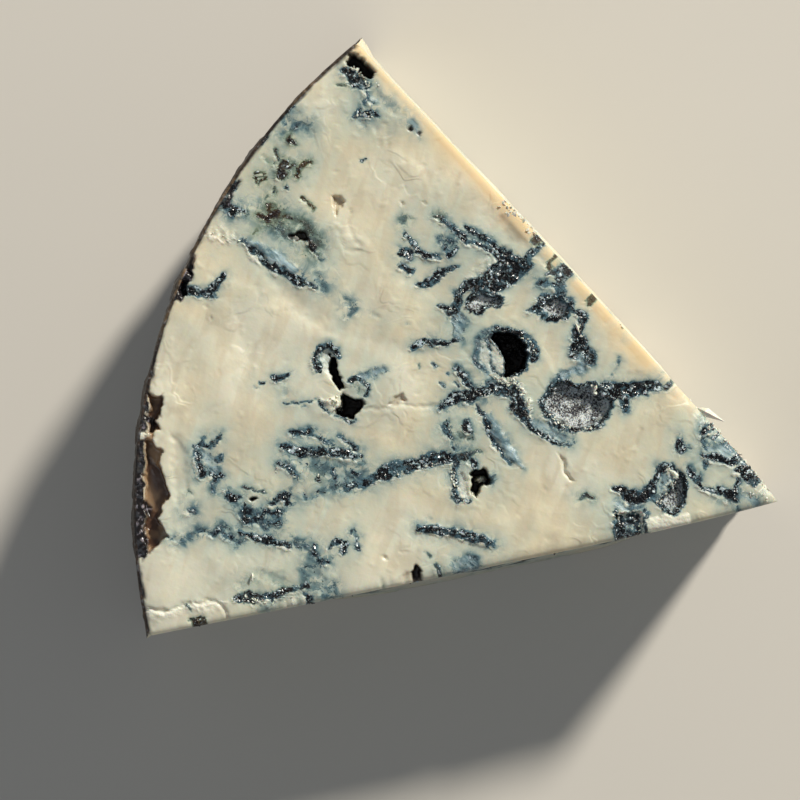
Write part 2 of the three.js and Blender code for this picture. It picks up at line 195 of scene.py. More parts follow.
# The veins of the upper face, by the pixels that they run through.
upperVeins = {
    "needleChannels": [
        vein([(250, 243), (263, 250), (279, 260), (297, 270)], (3, 8, 9, 5), 0.2, 0.7, sink=-0.4, soft=2,
              blue=0.95),
        vein([(241, 241), (252, 251), (264, 261), (276, 267), (296, 279), (317, 287)], (2, 4, 6, 8, 9, 4),
              1.0, 0.6),
        vein([(418, 528), (434, 529), (452, 532), (470, 535), (488, 541), (493, 545)], (5, 8, 9, 8, 7, 4),
              sink=-0.25),
        vein([(347, 487), (371, 478), (390, 471), (415, 465), (440, 458), (470, 456)],
              (6, 9, 12, 13, 13, 6), sink=0.4),
        vein([(484, 415), (495, 428), (508, 446), (521, 468)], (4, 7, 7, 2), 0.15, 0.8, 7, sink=-0.4,
              soft=2, blue=0.95),
        vein([(478, 408), (487, 425), (495, 442), (503, 454), (511, 462)], (3, 4, 4, 4, 2), 1.0, 0.5, 5,
              sink=0.3, soft=2),
        vein([(604, 389), (619, 391), (640, 390), (655, 386)], (12, 14, 13, 9), sink=0.5),
    ],
    "corner": [
        vein([(347, 70), (356, 77), (366, 85)], (8, 17, 8), 0.95, 0.9, sink=0.5),
        vein([(338, 85), (345, 86)], 3, 0.5, 0.4, olive=0.8),
        vein([(372, 92), (385, 104), (400, 114)], 9, 0.0, 0.5, 15, soft=5),
        vein([(364, 88), (367, 97), (365, 104)], (3, 4, 3), 0.7, 0.9, 12),
        vein([(354, 116), (361, 112), (368, 113), (372, 110)], (4, 7, 6, 3), 0.8, 0.7, 10),
        vein([(358, 119), (361, 124)], 5, 0.3, 0.6, 8, soft=4, blue=0.3),
        vein([(376, 112), (378, 116)], 4, 0.7, 0.6, 9),
        vein([(413, 125), (417, 131)], 8, 0.0, 0.6, 9, soft=5, blue=0.4),
        vein([(363, 161), (366, 159)], 2, 0.9, 0.1),
        vein([(437, 128), (439, 131)], 3, 0.5, 0.1, olive=1),
    ],
    "rindSide": [
        vein([(288, 111), (291, 108)], 5, 1.0, 0.3),
        vein([(263, 139), (266, 136)], 6, 1.0, 0.3),
        vein([(287, 121), (296, 124), (305, 126)], 8, 0.25, 0.9, 12, soft=5),
        vein([(280, 131), (289, 129)], 5, 0.3, 0.7, 9, soft=4),
        vein([(289, 138), (291, 142)], 6, 0.9, 0.7, 8, olive=0.8, soft=4),
        vein([(275, 150), (277, 161)], 4, 0.8, 0.6, 8, olive=0.7, soft=3),
        vein([(284, 163), (282, 176)], 7, 0.95, 0.9, 10, olive=0.8, soft=3),
        vein([(277, 165), (287, 166), (293, 165)], 4, 0.7, 0.8, 10, olive=0.7, soft=3),
        vein([(310, 162), (300, 166), (296, 175)], 4, 0.85, 0.9, 8, olive=1.0, soft=3),
        vein([(255, 173), (264, 174), (266, 181), (258, 184), (254, 178)], 1.8, 0.9, 0.5, 8, olive=1.0,
              soft=1.5),
        vein([(258, 179), (262, 179)], 2, 0.7, 0.2, 5, olive=1.0, soft=1.5),
        vein([(263, 158), (270, 163)], 3, 0.4, 0.4, 7, olive=0.8),
        vein([(275, 191), (276, 193)], 4, 0.95, 0.3, olive=0.8),
        vein([(266, 197), (269, 195)], 3, 0.6, 0.3, olive=0.8),
        vein([(285, 188), (286, 190)], 3, 1.0, 0.1),
        vein([(303, 199), (307, 203), (311, 209)], 4, 0.75, 0.3, 6, olive=1.0),
        vein([(232, 184), (234, 190)], 6, 0.8, 0.3, 5),
        vein([(225, 204), (232, 210), (246, 211)], (9, 8, 4), 1.0, 0.9, 12, soft=3),
        vein([(259, 214), (268, 218), (277, 214)], (4, 8, 4), 0.9, 0.9, 14, olive=0.9, soft=4),
        vein([(270, 206), (272, 220)], 5, 0.6, 0.8, 14, olive=0.9, soft=4),
        vein([(282, 216), (290, 218)], 3, 0.7, 0.5, 8, olive=0.8, soft=3),
        vein([(285, 222), (300, 225), (314, 240), (310, 251)], 9, 0.05, 0.9, 15, olive=0.6),
        vein([(280, 231), (288, 236)], 9, 0.1, 0.8, 9, olive=0.35, blue=0.15),
        vein([(307, 240), (312, 247), (316, 256)], (5, 6, 3), 0.95, 0.9, 9, olive=0.5, soft=2),
        vein([(318, 258), (323, 259)], 3, 0.5, 0.3),
        vein([(254, 232), (257, 229)], 3, 0.5, 0.2, olive=1),
        vein([(186, 291), (201, 291), (212, 292), (216, 283), (224, 277)], (10, 9, 10, 7, 7), 1.0, 0.6, 7,
              sink=0.4),
        vein([(318, 276), (323, 287)], 6, 0.0, 0.8, 14),
    ],
    "middleNorth": [
        vein([(404, 222), (407, 218)], 5, 0.35, 0.7, 9, olive=0.4, soft=4),
        vein([(407, 234), (414, 244), (418, 251), (427, 256), (438, 257)], (5, 7, 5, 6, 5), 1.0, 0.7, 8),
        vein([(402, 252), (409, 255)], 9, 1.0, 0.8, 8),
        vein([(402, 267), (409, 269)], 6, 1.0, 0.6, 7),
        vein([(420, 284), (432, 279), (442, 273), (455, 269)], (6, 9, 8, 4), 1.0, 0.6, 8),
        vein([(437, 216), (447, 223), (456, 233), (470, 242), (483, 247), (497, 252)], (3, 4, 5, 6, 6, 8),
              0.9, 0.9, 9),
        vein([(465, 228), (476, 235), (487, 241), (496, 247)], (4, 5, 4, 4), 1.0, 0.9, 8),
        vein([(441, 240), (450, 247)], 9, 0.15, 1.0, 5),
        vein([(445, 250), (450, 256), (456, 250)], 4, 0.9, 0.7, 6),
        vein([(438, 214), (440, 218)], 4, 0.4, 0.4, 6, olive=0.5),
        vein([(503, 255), (512, 268), (500, 277), (485, 284), (474, 286)], (16, 30, 28, 20, 12), 1.0, 0.7,
              7, sink=0.5),
        vein([(541, 241), (532, 252), (526, 264), (514, 274)], (6, 5, 10, 14), 1.0, 0.7, 7),
        vein([(466, 287), (457, 294), (456, 303), (452, 312)], (8, 8, 9, 6), 1.0, 0.6, 7),
        vein([(440, 305), (449, 311), (455, 316)], (4, 5, 5), 0.9, 0.5, 7),
        vein([(455, 318), (460, 327), (459, 337)], (9, 9, 8), 0.3, 1.0, 7, blue=0.6),
        vein([(452, 316), (455, 326), (454, 336)], (3, 3, 2), 1.0, 0.5, 5),
        vein([(414, 346), (427, 341), (445, 343), (458, 340)], (5, 5, 6, 4), 1.0, 0.6, 9),
        vein([(470, 309), (483, 314), (493, 308), (501, 300)], 2.5, 1.0, 0.4, 4),
        vein([(469, 300), (474, 292), (488, 291)], 5, 1.0, 0.4, 4),
        vein([(344, 300), (354, 308), (346, 318)], (6, 8, 3), 0.12, 0.75, 10),
        vein([(372, 312), (380, 317)], 3, 0.0, 0.35, 8),
        vein([(406, 322), (407, 322)], 2, 0.6, 0.1),
    ],
    "east": [
        vein([(533, 240), (541, 245)], 5, 0.9, 0.4, 5, olive=0.8, sink=0.3, soft=2),
        vein([(548, 262), (552, 266)], 3, 0.9, 0.2, 4, olive=1.0, soft=2),
        vein([(547, 274), (556, 271), (567, 273)], (5, 7, 8), 1.0, 0.8, 8, olive=0.2),
        vein([(538, 285), (549, 282), (558, 287)], (4, 5, 7), 0.9, 1.0, 8),
        vein([(560, 280), (562, 296)], 9, 1.0, 0.6, 6),
        vein([(540, 302), (546, 296), (556, 294)], 6, 1.0, 0.7, 5),
        vein([(528, 312), (538, 308), (541, 316), (552, 320)], (4, 7, 6, 4), 0.95, 0.6, 6),
        vein([(570, 299), (573, 309), (566, 319)], 5, 1.0, 0.5, 5),
        vein([(576, 311), (583, 314), (584, 320)], (5, 7, 6), 1.0, 0.6, 6),
        vein([(583, 318), (579, 328), (577, 338)], (7, 8, 10), 1.0, 0.7, 6),
        vein([(577, 338), (580, 350), (590, 357)], (13, 20, 13), 1.0, 0.8, 7, sink=0.4),
        vein([(583, 358), (580, 366), (568, 373), (556, 381)], (9, 8, 6, 6), 0.2, 0.9, 7, blue=0.75),
        vein([(572, 370), (562, 376), (554, 384)], (2, 4, 4), 1.0, 0.5, 5),
        vein([(619, 358), (616, 371), (608, 381)], 3, 0.35, 0.5, 5, soft=3),
        vein([(585, 301), (590, 306)], 2.5, 0.9, 0.3, 4, olive=1.0, soft=2),
        vein([(622, 323), (627, 333)], 4, 0.5, 0.6, 7, olive=0.4),
        vein([(668, 387), (679, 387)], 7, 1.0, 0.4, 5, olive=0.5, sink=0.3),
        vein([(621, 398), (628, 409)], (10, 6), 0.9, 0.9, 6),
        vein([(535, 257), (546, 262)], 4, 0.2, 0.4, 7),
    ],
    "roundTheEye": [
        vein([(495, 327), (487, 330), (479, 341), (475, 353), (477, 364), (484, 373), (493, 379)], 2.5, 0.6,
              0.9, 6, soft=2, blue=0.4),
        vein([(496, 328), (508, 329), (519, 332), (529, 339), (534, 350), (533, 360)], (5, 5, 7, 8, 8, 6),
              1.0, 0.7, 6),
        vein([(490, 342), (490, 356), (494, 372), (499, 377)], 2.5, 1.0, 0.4, 4, sink=1.2),
        vein([(457, 369), (464, 377), (470, 386)], (4, 7, 6), 0.85, 0.9, 7),
        vein([(441, 408), (453, 401), (473, 395), (494, 388), (511, 391)], (6, 11, 11, 12, 12), 1.0, 0.9, 9,
              sink=0.3),
        vein([(514, 384), (517, 396), (518, 409), (529, 421)], (9, 12, 12, 10), 1.0, 0.8, 7),
        vein([(530, 419), (542, 425), (553, 432), (570, 443)], (6, 7, 6, 2), 0.3, 0.9, 8, blue=0.55),
        vein([(529, 424), (540, 433), (552, 440), (568, 446)], (5, 5, 4, 2), 1.0, 0.5, 5),
        vein([(543, 402), (549, 389), (560, 380)], 5, 1.0, 0.6, 5),
        vein([(545, 412), (556, 424), (577, 433), (598, 426), (612, 414)], 4, 1.0, 0.4, 4),
        vein([(563, 384), (575, 387), (590, 385), (604, 391)], 8, 1.0, 0.4, 4),
        vein([(446, 426), (448, 434)], 8, 0.7, 0.8, 9, soft=3),
        vein([(467, 424), (468, 429)], 7, 0.9, 0.8, 9, soft=3),
        vein([(457, 432), (471, 438)], 4, 0.5, 0.7, 9, olive=0.4, soft=3),
        vein([(451, 440), (456, 447)], 3, 0.7, 0.6, 8),
        vein([(463, 457), (480, 451), (484, 452)], 3, 0.5, 0.4, 6, olive=0.6),
        vein([(447, 374), (448, 376)], 2.5, 0.9, 0.1),
        vein([(441, 384), (445, 386)], 2.0, 0.9, 0.1),
        vein([(456, 384), (458, 386)], 2.5, 0.7, 0.2),
        vein([(434, 364), (435, 366)], 2.5, 0.6, 0.2),
        vein([(418, 365), (420, 367)], 2.5, 0.4, 0.2, olive=0.5),
    ],
    "twinEyes": [
        vein([(317, 369), (315, 358), (320, 350), (329, 347), (337, 350), (339, 356)], (4, 6, 7, 7, 6, 3),
              1.0, 0.7, 6),
        vein([(318, 402), (325, 411), (334, 417), (346, 421), (355, 420)], 2.5, 0.8, 0.6, 5),
        vein([(285, 403), (301, 401), (318, 400)], 1.2, 0.75, 0.4, 7, soft=1.5),
        vein([(303, 405), (309, 406)], 3, 0.4, 0.4, 7),
        vein([(349, 381), (356, 379), (362, 377)], (3, 5, 3), 0.95, 0.7, 6),
        vein([(360, 377), (372, 373), (383, 369)], (4, 7, 3), 0.35, 0.9, 6, blue=0.6),
        vein([(361, 380), (368, 387), (366, 395)], 4, 0.8, 0.7, 6),
        vein([(354, 386), (360, 392)], 3, 0.4, 0.5, 7, olive=0.4),
        vein([(274, 380), (281, 378), (288, 375)], (5, 4, 3), 0.95, 0.6, 8),
        vein([(284, 382), (288, 395)], 4, 0.15, 0.6, 8),
        vein([(255, 385), (258, 389)], 2, 0.5, 0.3),
        vein([(261, 381), (262, 382)], 2.5, 0.9, 0.1),
    ],
    "west": [
        vein([(196, 446), (203, 442), (209, 445), (214, 440), (220, 436)], (5, 7, 6, 4, 5), 1.0, 0.7, 8),
        vein([(196, 451), (200, 463), (200, 476)], (5, 6, 4), 0.95, 0.9, 9),
        vein([(204, 454), (211, 463), (214, 472)], 9, 0.2, 0.9, 8, blue=0.5),
        vein([(220, 456), (217, 462)], 5, 0.9, 0.7, 7),
        vein([(210, 477), (216, 478), (220, 477)], 5, 1.0, 0.7, 7),
        vein([(213, 484), (214, 492)], 5, 0.6, 0.8, 8),
        vein([(188, 489), (191, 493)], 4, 0.5, 0.5, 8, olive=0.4),
        vein([(188, 511), (192, 510)], 6, 0.75, 0.8, 12, soft=4),
        vein([(174, 540), (184, 541), (190, 535)], (3, 4, 5), 0.45, 0.9, 8, soft=4),
        vein([(199, 531), (212, 535), (222, 528), (226, 535), (238, 540)], (4, 5, 7, 8, 6), 0.55, 0.95, 9,
              soft=3),
        vein([(227, 493), (233, 497), (240, 497)], (6, 8, 6), 0.95, 0.9, 8),
        vein([(242, 486), (250, 487), (258, 491), (264, 492)], 3, 0.7, 0.6, 7, olive=0.3),
        vein([(272, 503), (280, 499), (287, 497), (288, 503)], (5, 6, 9, 6), 0.9, 0.9, 9),
        vein([(242, 508), (246, 519), (257, 518), (265, 510), (274, 512), (281, 513), (280, 521),
              (270, 522)], (6, 8, 6, 4, 3, 5, 4, 4), 0.9, 1.0, 9),
        vein([(249, 512), (262, 522), (268, 526)], 10, 0.5, 0.9, 8),
        vein([(242, 531), (252, 536), (270, 541), (289, 547)], (5, 6, 7, 5), 1.0, 0.7, 8),
        vein([(233, 541), (228, 531)], 6, 0.3, 0.9, 8),
        vein([(295, 542), (312, 546), (317, 556)], 7, 0.3, 0.9, 10, soft=4),
        vein([(313, 545), (316, 555), (321, 563), (328, 563)], (4, 5, 7, 5), 0.85, 1.0, 10),
        vein([(329, 550), (338, 541), (346, 543), (341, 553)], (4, 9, 8, 4), 1.0, 0.6, 7),
        vein([(353, 533), (356, 536), (358, 548)], 4, 0.8, 0.8, 7),
        vein([(239, 600), (247, 597), (257, 600)], (8, 13, 9), 1.0, 0.5, 7, olive=0.4, sink=0.3),
        vein([(258, 599), (275, 596), (292, 590), (308, 586)], (7, 6, 7, 5), 0.9, 0.8, 9, olive=0.2),
        vein([(304, 594), (310, 600)], (3, 6), 1.0, 0.4, 5),
        vein([(310, 575), (320, 585), (330, 590)], 14, 0.1, 0.8, 12),
        vein([(240, 585), (262, 575), (280, 583)], 10, 0.0, 0.45, 16, olive=0.4),
        vein([(188, 621), (193, 623), (197, 619), (204, 618)], (2, 4, 3, 1.5), 0.9, 0.2, 4, olive=0.9,
              sink=0.6, soft=1.5),
        vein([(190, 627), (193, 623)], 1.8, 0.8, 0.2, 4, olive=0.9, sink=0.4, soft=1.5),
        vein([(187, 607), (190, 611)], 3, 0.9, 0.2, olive=0.4),
    ],
    "southWest": [
        vein([(291, 434), (309, 431), (329, 442), (333, 444)], (5, 6, 5, 3), 0.85, 0.9, 8),
        vein([(283, 447), (295, 451), (309, 454), (328, 452), (345, 453), (361, 456)], (6, 8, 8, 8, 8, 5),
              1.0, 0.9, 10),
        vein([(340, 436), (351, 445), (362, 456)], 4, 0.8, 0.7, 7),
        vein([(280, 465), (288, 468), (296, 474)], (4, 5, 4), 0.85, 1.0, 9),
        vein([(300, 460), (325, 468), (345, 470), (370, 478)], 14, 0.1, 0.75, 12),
        vein([(316, 476), (318, 478)], 4, 0.9, 0.5, olive=0.4),
        vein([(332, 470), (337, 476)], 4, 0.8, 0.7),
        vein([(354, 470), (355, 474)], 3.5, 0.8, 0.7),
        vein([(345, 484), (352, 487)], 4, 0.8, 0.6),
        vein([(306, 496), (325, 490), (350, 488)], 5, 0.15, 0.8, 9),
        vein([(303, 492), (306, 497)], 4, 0.5, 0.6),
    ],
    "crossEye": [
        vein([(457, 459), (453, 472), (455, 489), (461, 500), (468, 501)], (8, 5, 5, 5, 3), 1.0, 0.8, 6),
        vein([(468, 458), (473, 466)], 5, 0.9, 0.8, 6),
        vein([(489, 481), (494, 477)], 3, 0.3, 0.9, 6),
        vein([(452, 497), (460, 503)], 3, 0.7, 0.5, 6),
    ],
    "point": [
        vein([(612, 488), (622, 490), (632, 497), (644, 496), (652, 488)], (5, 9, 14, 12, 8), 1.0, 0.7, 6,
              sink=0.4),
        vein([(652, 488), (657, 476), (663, 466), (671, 466)], (7, 6, 8, 6), 1.0, 0.7, 6),
        vein([(672, 468), (680, 476), (686, 488), (685, 500), (679, 509)], 3.5, 1.0, 0.4, 4, soft=2,
              sink=0.8),
        vein([(664, 474), (667, 484), (660, 495)], 9, 0.3, 0.6, 5),
        vein([(655, 495), (658, 506), (668, 515), (678, 511)], 3, 1.0, 0.4, 4),
        vein([(618, 503), (628, 507), (640, 505)], (5, 8, 5), 0.25, 1.0, 6, blue=0.6),
        vein([(616, 513), (615, 530), (618, 542)], (5, 6, 6), 1.0, 0.7, 5),
        vein([(644, 513), (646, 524), (640, 536)], (5, 6, 8), 1.0, 0.6, 5),
        vein([(622, 538), (634, 533), (646, 527), (662, 526)], (7, 6, 5, 3), 0.9, 0.6, 5),
        vein([(660, 525), (663, 527)], 4, 0.9, 0.5, 5),
        vein([(625, 516), (634, 522)], 9, 0.6, 0.6, 5),
        vein([(679, 437), (681, 449)], (3, 8), 0.9, 0.8, 9),
        vein([(687, 444), (689, 447)], 3, 0.5, 0.6, 6),
        vein([(690, 470), (697, 479), (703, 487), (712, 491), (721, 495)], (6, 7, 4, 4, 7), 0.9, 0.8, 8),
        vein([(720, 489), (730, 495), (738, 500)], (7, 11, 4), 0.95, 0.8, 7),
        vein([(706, 456), (720, 459), (738, 462)], (6, 10, 7), 1.0, 0.7, 7, sink=0.3),
        vein([(737, 470), (746, 474), (755, 483)], (7, 11, 6), 1.0, 0.7, 7),
        vein([(740, 478), (738, 488), (736, 497)], 5, 0.8, 0.8, 7),
        vein([(701, 406), (702, 420), (703, 440)], (4, 5, 4), 1.0, 0.8, 7, sink=0.3),
        vein([(709, 417), (717, 421)], 5, 1.0, 0.5, 5, sink=0.4),
        vein([(704, 424), (711, 431), (719, 433)], 2, 0.8, 0.5, 5, soft=1.5),
        vein([(705, 432), (713, 440)], 2, 0.7, 0.5, 5, soft=1.5),
        vein([(704, 440), (706, 446)], 4, 0.8, 0.6, 6),
        vein([(708, 448), (722, 449), (736, 455)], (5, 6, 4), 0.1, 0.8, 8, blue=0.75),
        vein([(704, 466), (706, 462)], 4, 0.9, 0.5, 5),
        vein([(766, 493), (768, 494)], 3, 0.9, 0.5, 5),
        vein([(746, 496), (758, 499)], (6, 4), 0.0, 0.7, 7, blue=0.4),
        vein([(760, 507), (762, 505)], 3, 0.7, 0.4, 5),
        vein([(580, 499), (586, 497), (593, 499)], 4, 0.65, 0.6, 9, olive=0.5),
    ],
    "lowerEdge": [
        vein([(437, 566), (440, 569)], 4, 0.8, 0.4, 6, olive=0.4),
        vein([(436, 576), (446, 573), (455, 570)], (4, 6, 6), 0.7, 0.8, 7),
        vein([(458, 568), (466, 564), (474, 560)], (10, 11, 7), 0.3, 1.0, 8, blue=0.5),
        vein([(474, 572), (490, 567), (505, 563)], 4, 0.3, 0.7, 8),
        vein([(376, 592), (384, 580)], 3, 0.35, 0.2, olive=0.8, sink=0.4),
        vein([(427, 552), (430, 556)], 2.5, 0.6, 0.2, olive=0.4),
    ],
}

# The eyes, hollows and chips of the upper face, by their outlines in the photograph's pixels.
upperHollows = {
    "roundEyeShelf": hollow([(478, 346), (484, 337), (492, 336), (503, 340), (506, 356), (504, 374),
        (492, 378), (482, 371), (477, 358)], 0.35, 3, "white"),
    "roundEye": hollow([(494, 333), (506, 331), (519, 335), (528, 345), (529, 357), (523, 367), (515, 373),
        (507, 379), (501, 377), (504, 366), (502, 352), (497, 345), (492, 341)], 9, 2.6, "dark", 0.8),
    "furHollow": hollow([(543, 403), (551, 388), (562, 380), (571, 383), (579, 387), (588, 383), (594, 383),
        (604, 392), (612, 398), (613, 412), (600, 424), (578, 432), (556, 423), (545, 412)], 1.7, 5, "fur",
        0, 0.75),
    "twinEyeShelf": hollow([(318, 354), (325, 350), (335, 351), (338, 360), (339, 374), (335, 386),
        (326, 377), (319, 367)], 0.7, 5, "white"),
    "twinEyeHigh": hollow([(328, 356), (334, 354), (338, 360), (340, 372), (344, 386), (338, 390),
        (333, 385), (329, 374), (327, 366)], 5.5, 2.2, "dark"),
    "twinEyeLow": hollow([(341, 397), (344, 391), (350, 394), (356, 397), (363, 398), (364, 405),
        (359, 413), (351, 418), (342, 420), (335, 415), (334, 409), (341, 405)], 6.5, 2.4, "dark"),
    "crossEyeShelf": hollow([(457, 470), (466, 472), (471, 484), (470, 496), (462, 499), (456, 491),
        (454, 480)], 0.4, 3, "white"),
    "crossEye": hollow([(468, 473), (474, 468), (483, 467), (489, 474), (490, 481), (483, 490), (476, 498),
        (470, 494), (473, 484)], 5, 2.2, "dark"),
    "pointEyeShelf": hollow([(663, 472), (672, 474), (676, 482), (670, 496), (660, 506), (656, 498),
        (660, 486)], 0.4, 3, "white"),
    "pointEye": hollow([(677, 474), (683, 478), (687, 488), (686, 499), (681, 508), (672, 513), (664, 510),
        (660, 503), (664, 494), (670, 487), (674, 479)], 1.9, 3.4, "fur"),
    "northHollow": hollow([(470, 298), (480, 295), (494, 294), (501, 299), (499, 306), (488, 312),
        (476, 311), (469, 305)], 0.8, 3, "fur", 0, 0.5),
    "eastHollow": hollow([(541, 303), (548, 298), (560, 297), (569, 303), (570, 312), (560, 319),
        (549, 318), (541, 311)], 0.9, 3.5, "fur", 0, 0.5),
    "edgeBlock": hollow([(614, 513), (625, 509), (640, 511), (645, 520), (645, 532), (636, 542), (618, 548),
        (612, 530)], 1.1, 4, "crumb"),
    "cornerNotch": hollow([(352, 49), (358, 53), (365, 58), (371, 64), (374, 70), (372, 76), (366, 79),
        (361, 73), (356, 68), (350, 65), (345, 60), (348, 54)], 4.5, 2.0, "dark"),
    "droplet": hollow([(290, 235), (294, 230), (300, 229), (306, 232), (309, 238), (305, 242), (298, 242),
        (293, 240)], 1.5, 3.2, "dark"),
    "stripShade": hollow([(499, 210), (514, 221), (528, 233), (537, 246), (524, 250), (511, 241),
        (498, 224)], 0.2, 9, "tan"),
    "bubble": hollow(oval(285, 234, 12, 11), -0.3, 5),
    "palePit": hollow([(331, 198), (341, 196), (346, 202), (340, 208), (335, 214), (331, 206)], 0.9, 3.5,
        "tan"),
    "edgePit": hollow([(409, 570), (416, 560), (422, 563), (424, 569), (419, 576), (411, 576)], 1.5, 3,
        "dark"),
    "edgePitDip": hollow([(398, 576), (408, 568), (420, 572), (422, 580), (412, 584), (400, 584)], 0.5, 5),
    "stepPit": hollow([(384, 403), (394, 396), (401, 393), (406, 398), (405, 405), (396, 406)], 0.6, 3.5,
        "tan"),
    "gapSlope": hollow([(166, 428), (182, 432), (194, 462), (192, 488), (178, 510), (168, 500)], 0.35, 10),
    "longDent": hollow([(557, 452), (564, 456), (570, 468), (573, 479), (568, 484), (562, 474)], 0.55, 5),
    "whiteRingPit": hollow(oval(254, 500, 9, 8), 1.3, 2.5, "dark"),
    "dropOne": hollow(oval(409.5, 131, 7, 7), 0.5, 2, "dark"),
    "dropTwo": hollow(oval(420.5, 135, 4, 4.5), 0.35, 1.5, "dark"),
    "dimpleOne": hollow(oval(385, 557, 7, 5, 50), 0.35, 2.5),
    "dimpleTwo": hollow(oval(401, 554, 5, 4), 0.35, 2),
    "dimpleThree": hollow(oval(402, 201, 4, 9, -25), 0.35, 2),
    "dimpleFour": hollow(oval(424, 202, 3, 6, -25), 0.3, 1.5),
    "dimpleFive": hollow(oval(211, 319, 4, 7, -20), 0.3, 2),
    "dimpleSix": hollow(oval(204, 305, 9, 4, 10), 0.25, 2),
    "rindGap": hollow([(149, 391), (161, 396), (164, 402), (160, 412), (159, 419), (161, 428), (153, 433),
        (152, 441), (162, 450), (163, 456), (160, 462), (162, 473), (167, 484), (168, 496), (164, 508),
        (165, 514), (157, 520), (170, 537), (154, 549), (144, 556), (143, 540), (143, 515), (143, 485),
        (145, 455), (147, 425)], 2.0, 3.0, "amber"),
    "rindGapNorth": hollow([(190, 253), (197, 255), (197, 268), (190, 273), (186, 268)], 2.5, 2, "amber"),
    "rindGapSmall": hollow([(180, 279), (188, 281), (188, 298), (177, 300), (177, 290)], 3.0, 2.5, "amber"),
}

# Ribs and flakes that stand in a hollow: path, width in pixels, and how far below the face their tops lie.
upperRibs = {
    "roundEyeInner": ([(496, 350), (500, 359), (499, 371)], 7, 0.3),
    "twinEyeFlap": ([(328, 402), (334, 400), (340, 402)], 6, 0.1),
    "crossEyeInner": ([(466, 484), (470, 493)], 4, 0.4),
    "crossEyeFlake": ([(480, 481), (484, 480)], 4, 1.6),
    "pointEyeRib": ([(668, 474), (670, 482), (664, 491)], 3, 0.1),
    "furFlake": ([(593, 383), (594, 393)], 4, 0.2),
    "whiteFlake": ([(252, 574), (253, 581)], 3, -0.15),
    "lowerLip": ([(455, 573), (500, 564), (560, 551), (608, 540)], 5, -0.25),
    "pointLip": ([(648, 523), (668, 519), (687, 516)], 7, -0.12),
    "rindGapBridge": ([(140, 436), (156, 437)], 9, 0.5),
}

# Where the rind shows wider than its usual thin line: path and width in pixels.
crustPlaces = [
    ([(236, 183), (224, 208)], 5),
    ([(190, 268), (182, 285), (178, 300)], 8),
    ([(147, 390), (141, 425), (140, 470), (139, 510), (142, 556)], 8),
    ([(148, 420), (154, 424)], 9),
    ([(144, 508), (149, 512)], 11),
]

# Folds and fine lines of the paste: path, width in pixels and depth in millimetres.
upperCreases = [
    ([(144, 612), (185, 606), (212, 599), (222, 606), (228, 617)], 3, 0.35),
    ([(258, 259), (290, 301), (330, 331)], 14, 0.22),
    ([(338, 231), (345, 249), (358, 252)], 4, 0.16),
    ([(349, 211), (352, 237), (359, 246)], 4, 0.14),
    ([(364, 409), (392, 406), (440, 405)], 3, 0.2),
    ([(172, 510), (175, 551)], 2.5, 0.12),
    ([(185, 428), (222, 401)], 2.5, 0.06),
    ([(376, 128), (382, 146)], 3, 0.14),
    ([(384, 126), (390, 145)], 3, 0.12),
    ([(463, 350), (478, 366), (494, 386)], 3, 0.14),
    ([(448, 210), (455, 196), (458, 178)], 8, 0.08),
    ([(424, 157), (431, 185), (436, 199)], 6, 0.07),
    ([(345, 455), (370, 466), (384, 462)], 2.5, 0.08),
    ([(640, 430), (632, 446)], 4, 0.15),
    ([(560, 420), (540, 470), (545, 520)], 16, 0.1),
    ([(420, 470), (400, 540), (376, 575)], 18, 0.1),
    ([(300, 300), (360, 340), (420, 350)], 16, 0.12),
    ([(230, 300), (250, 360), (240, 430)], 16, 0.1),
]

# Bevels where the edge is broken away: a line in pixels, the slope beyond it, and from where to where in the
# photograph's width it runs.
upperBevels = [
    {"line": ((144, 611), (224, 600)), "slope": 0.10, "ends": (139, 226)},
    {"line": ((262, 609), (318, 596)), "slope": 0.10, "ends": (262, 318)},
]

# Rims where the paste is torn and pale: path and width in pixels.
tornRims = [
    ([(688, 394), (703, 410), (722, 431), (750, 463), (778, 502)], 7),
    ([(500, 197), (520, 216), (534, 231), (540, 237)], 8),
    ([(491, 376), (500, 381), (510, 380), (518, 375)], 4),
    ([(519, 385), (527, 400), (530, 415)], 5),
    ([(453, 474), (457, 488), (466, 499)], 3),
    ([(672, 466), (676, 478), (666, 490), (661, 502)], 4),
    ([(352, 65), (360, 71), (366, 82)], 4),
    ([(322, 400), (332, 399), (337, 405)], 5),
    ([(617, 514), (632, 511), (642, 518), (643, 530)], 5),
    ([(577, 322), (580, 333)], 3),
    ([(549, 418), (562, 427), (582, 431), (600, 425)], 3),
    ([(247, 597), (262, 603), (280, 598)], 3),
    ([(361, 88), (366, 100), (372, 106)], 3),
    ([(708, 428), (722, 440)], 10),
    ([(470, 571), (530, 559), (612, 541)], 4),
]

# Rough, crumbly patches: middle, length, width and turn in pixels, and how much they stand up.
roughPatches = [
    (222, 236, 52, 18, 12, 0.18),
    (521, 217, 44, 16, 48, 0.30),
    (716, 428, 52, 24, 48, 0.40),
    (752, 478, 60, 10, 52, 0.30),
    (329, 404, 22, 14, 10, 0.35),
    (629, 526, 34, 34, 0, 0.40),
    (283, 605, 46, 16, -14, 0.22),
    (262, 540, 60, 10, 18, 0.20),
    (205, 606, 40, 16, -6, 0.14),
    (356, 72, 30, 24, 40, 0.35),
    (490, 274, 60, 36, -40, 0.25),
    (519, 404, 26, 34, 0, 0.25),
]


halfAngle = np.radians(wedge["angle"] / 2)
outOfLowerCut = np.array([np.sin(halfAngle), -np.cos(halfAngle)])
outOfRightCut = np.array([np.sin(halfAngle), np.cos(halfAngle)])


# How the blur round a vein colours the paste: the strongest one stroke can do, what many strokes add to each
# other, how much each cools the paste, and where beside it, in line with the key light, its painted highlight
# is.
stainLook = {"strongest": 0.38, "adding": 0.18, "cooling": 0.38, "litFringeAt": (1.7, -2.3)}
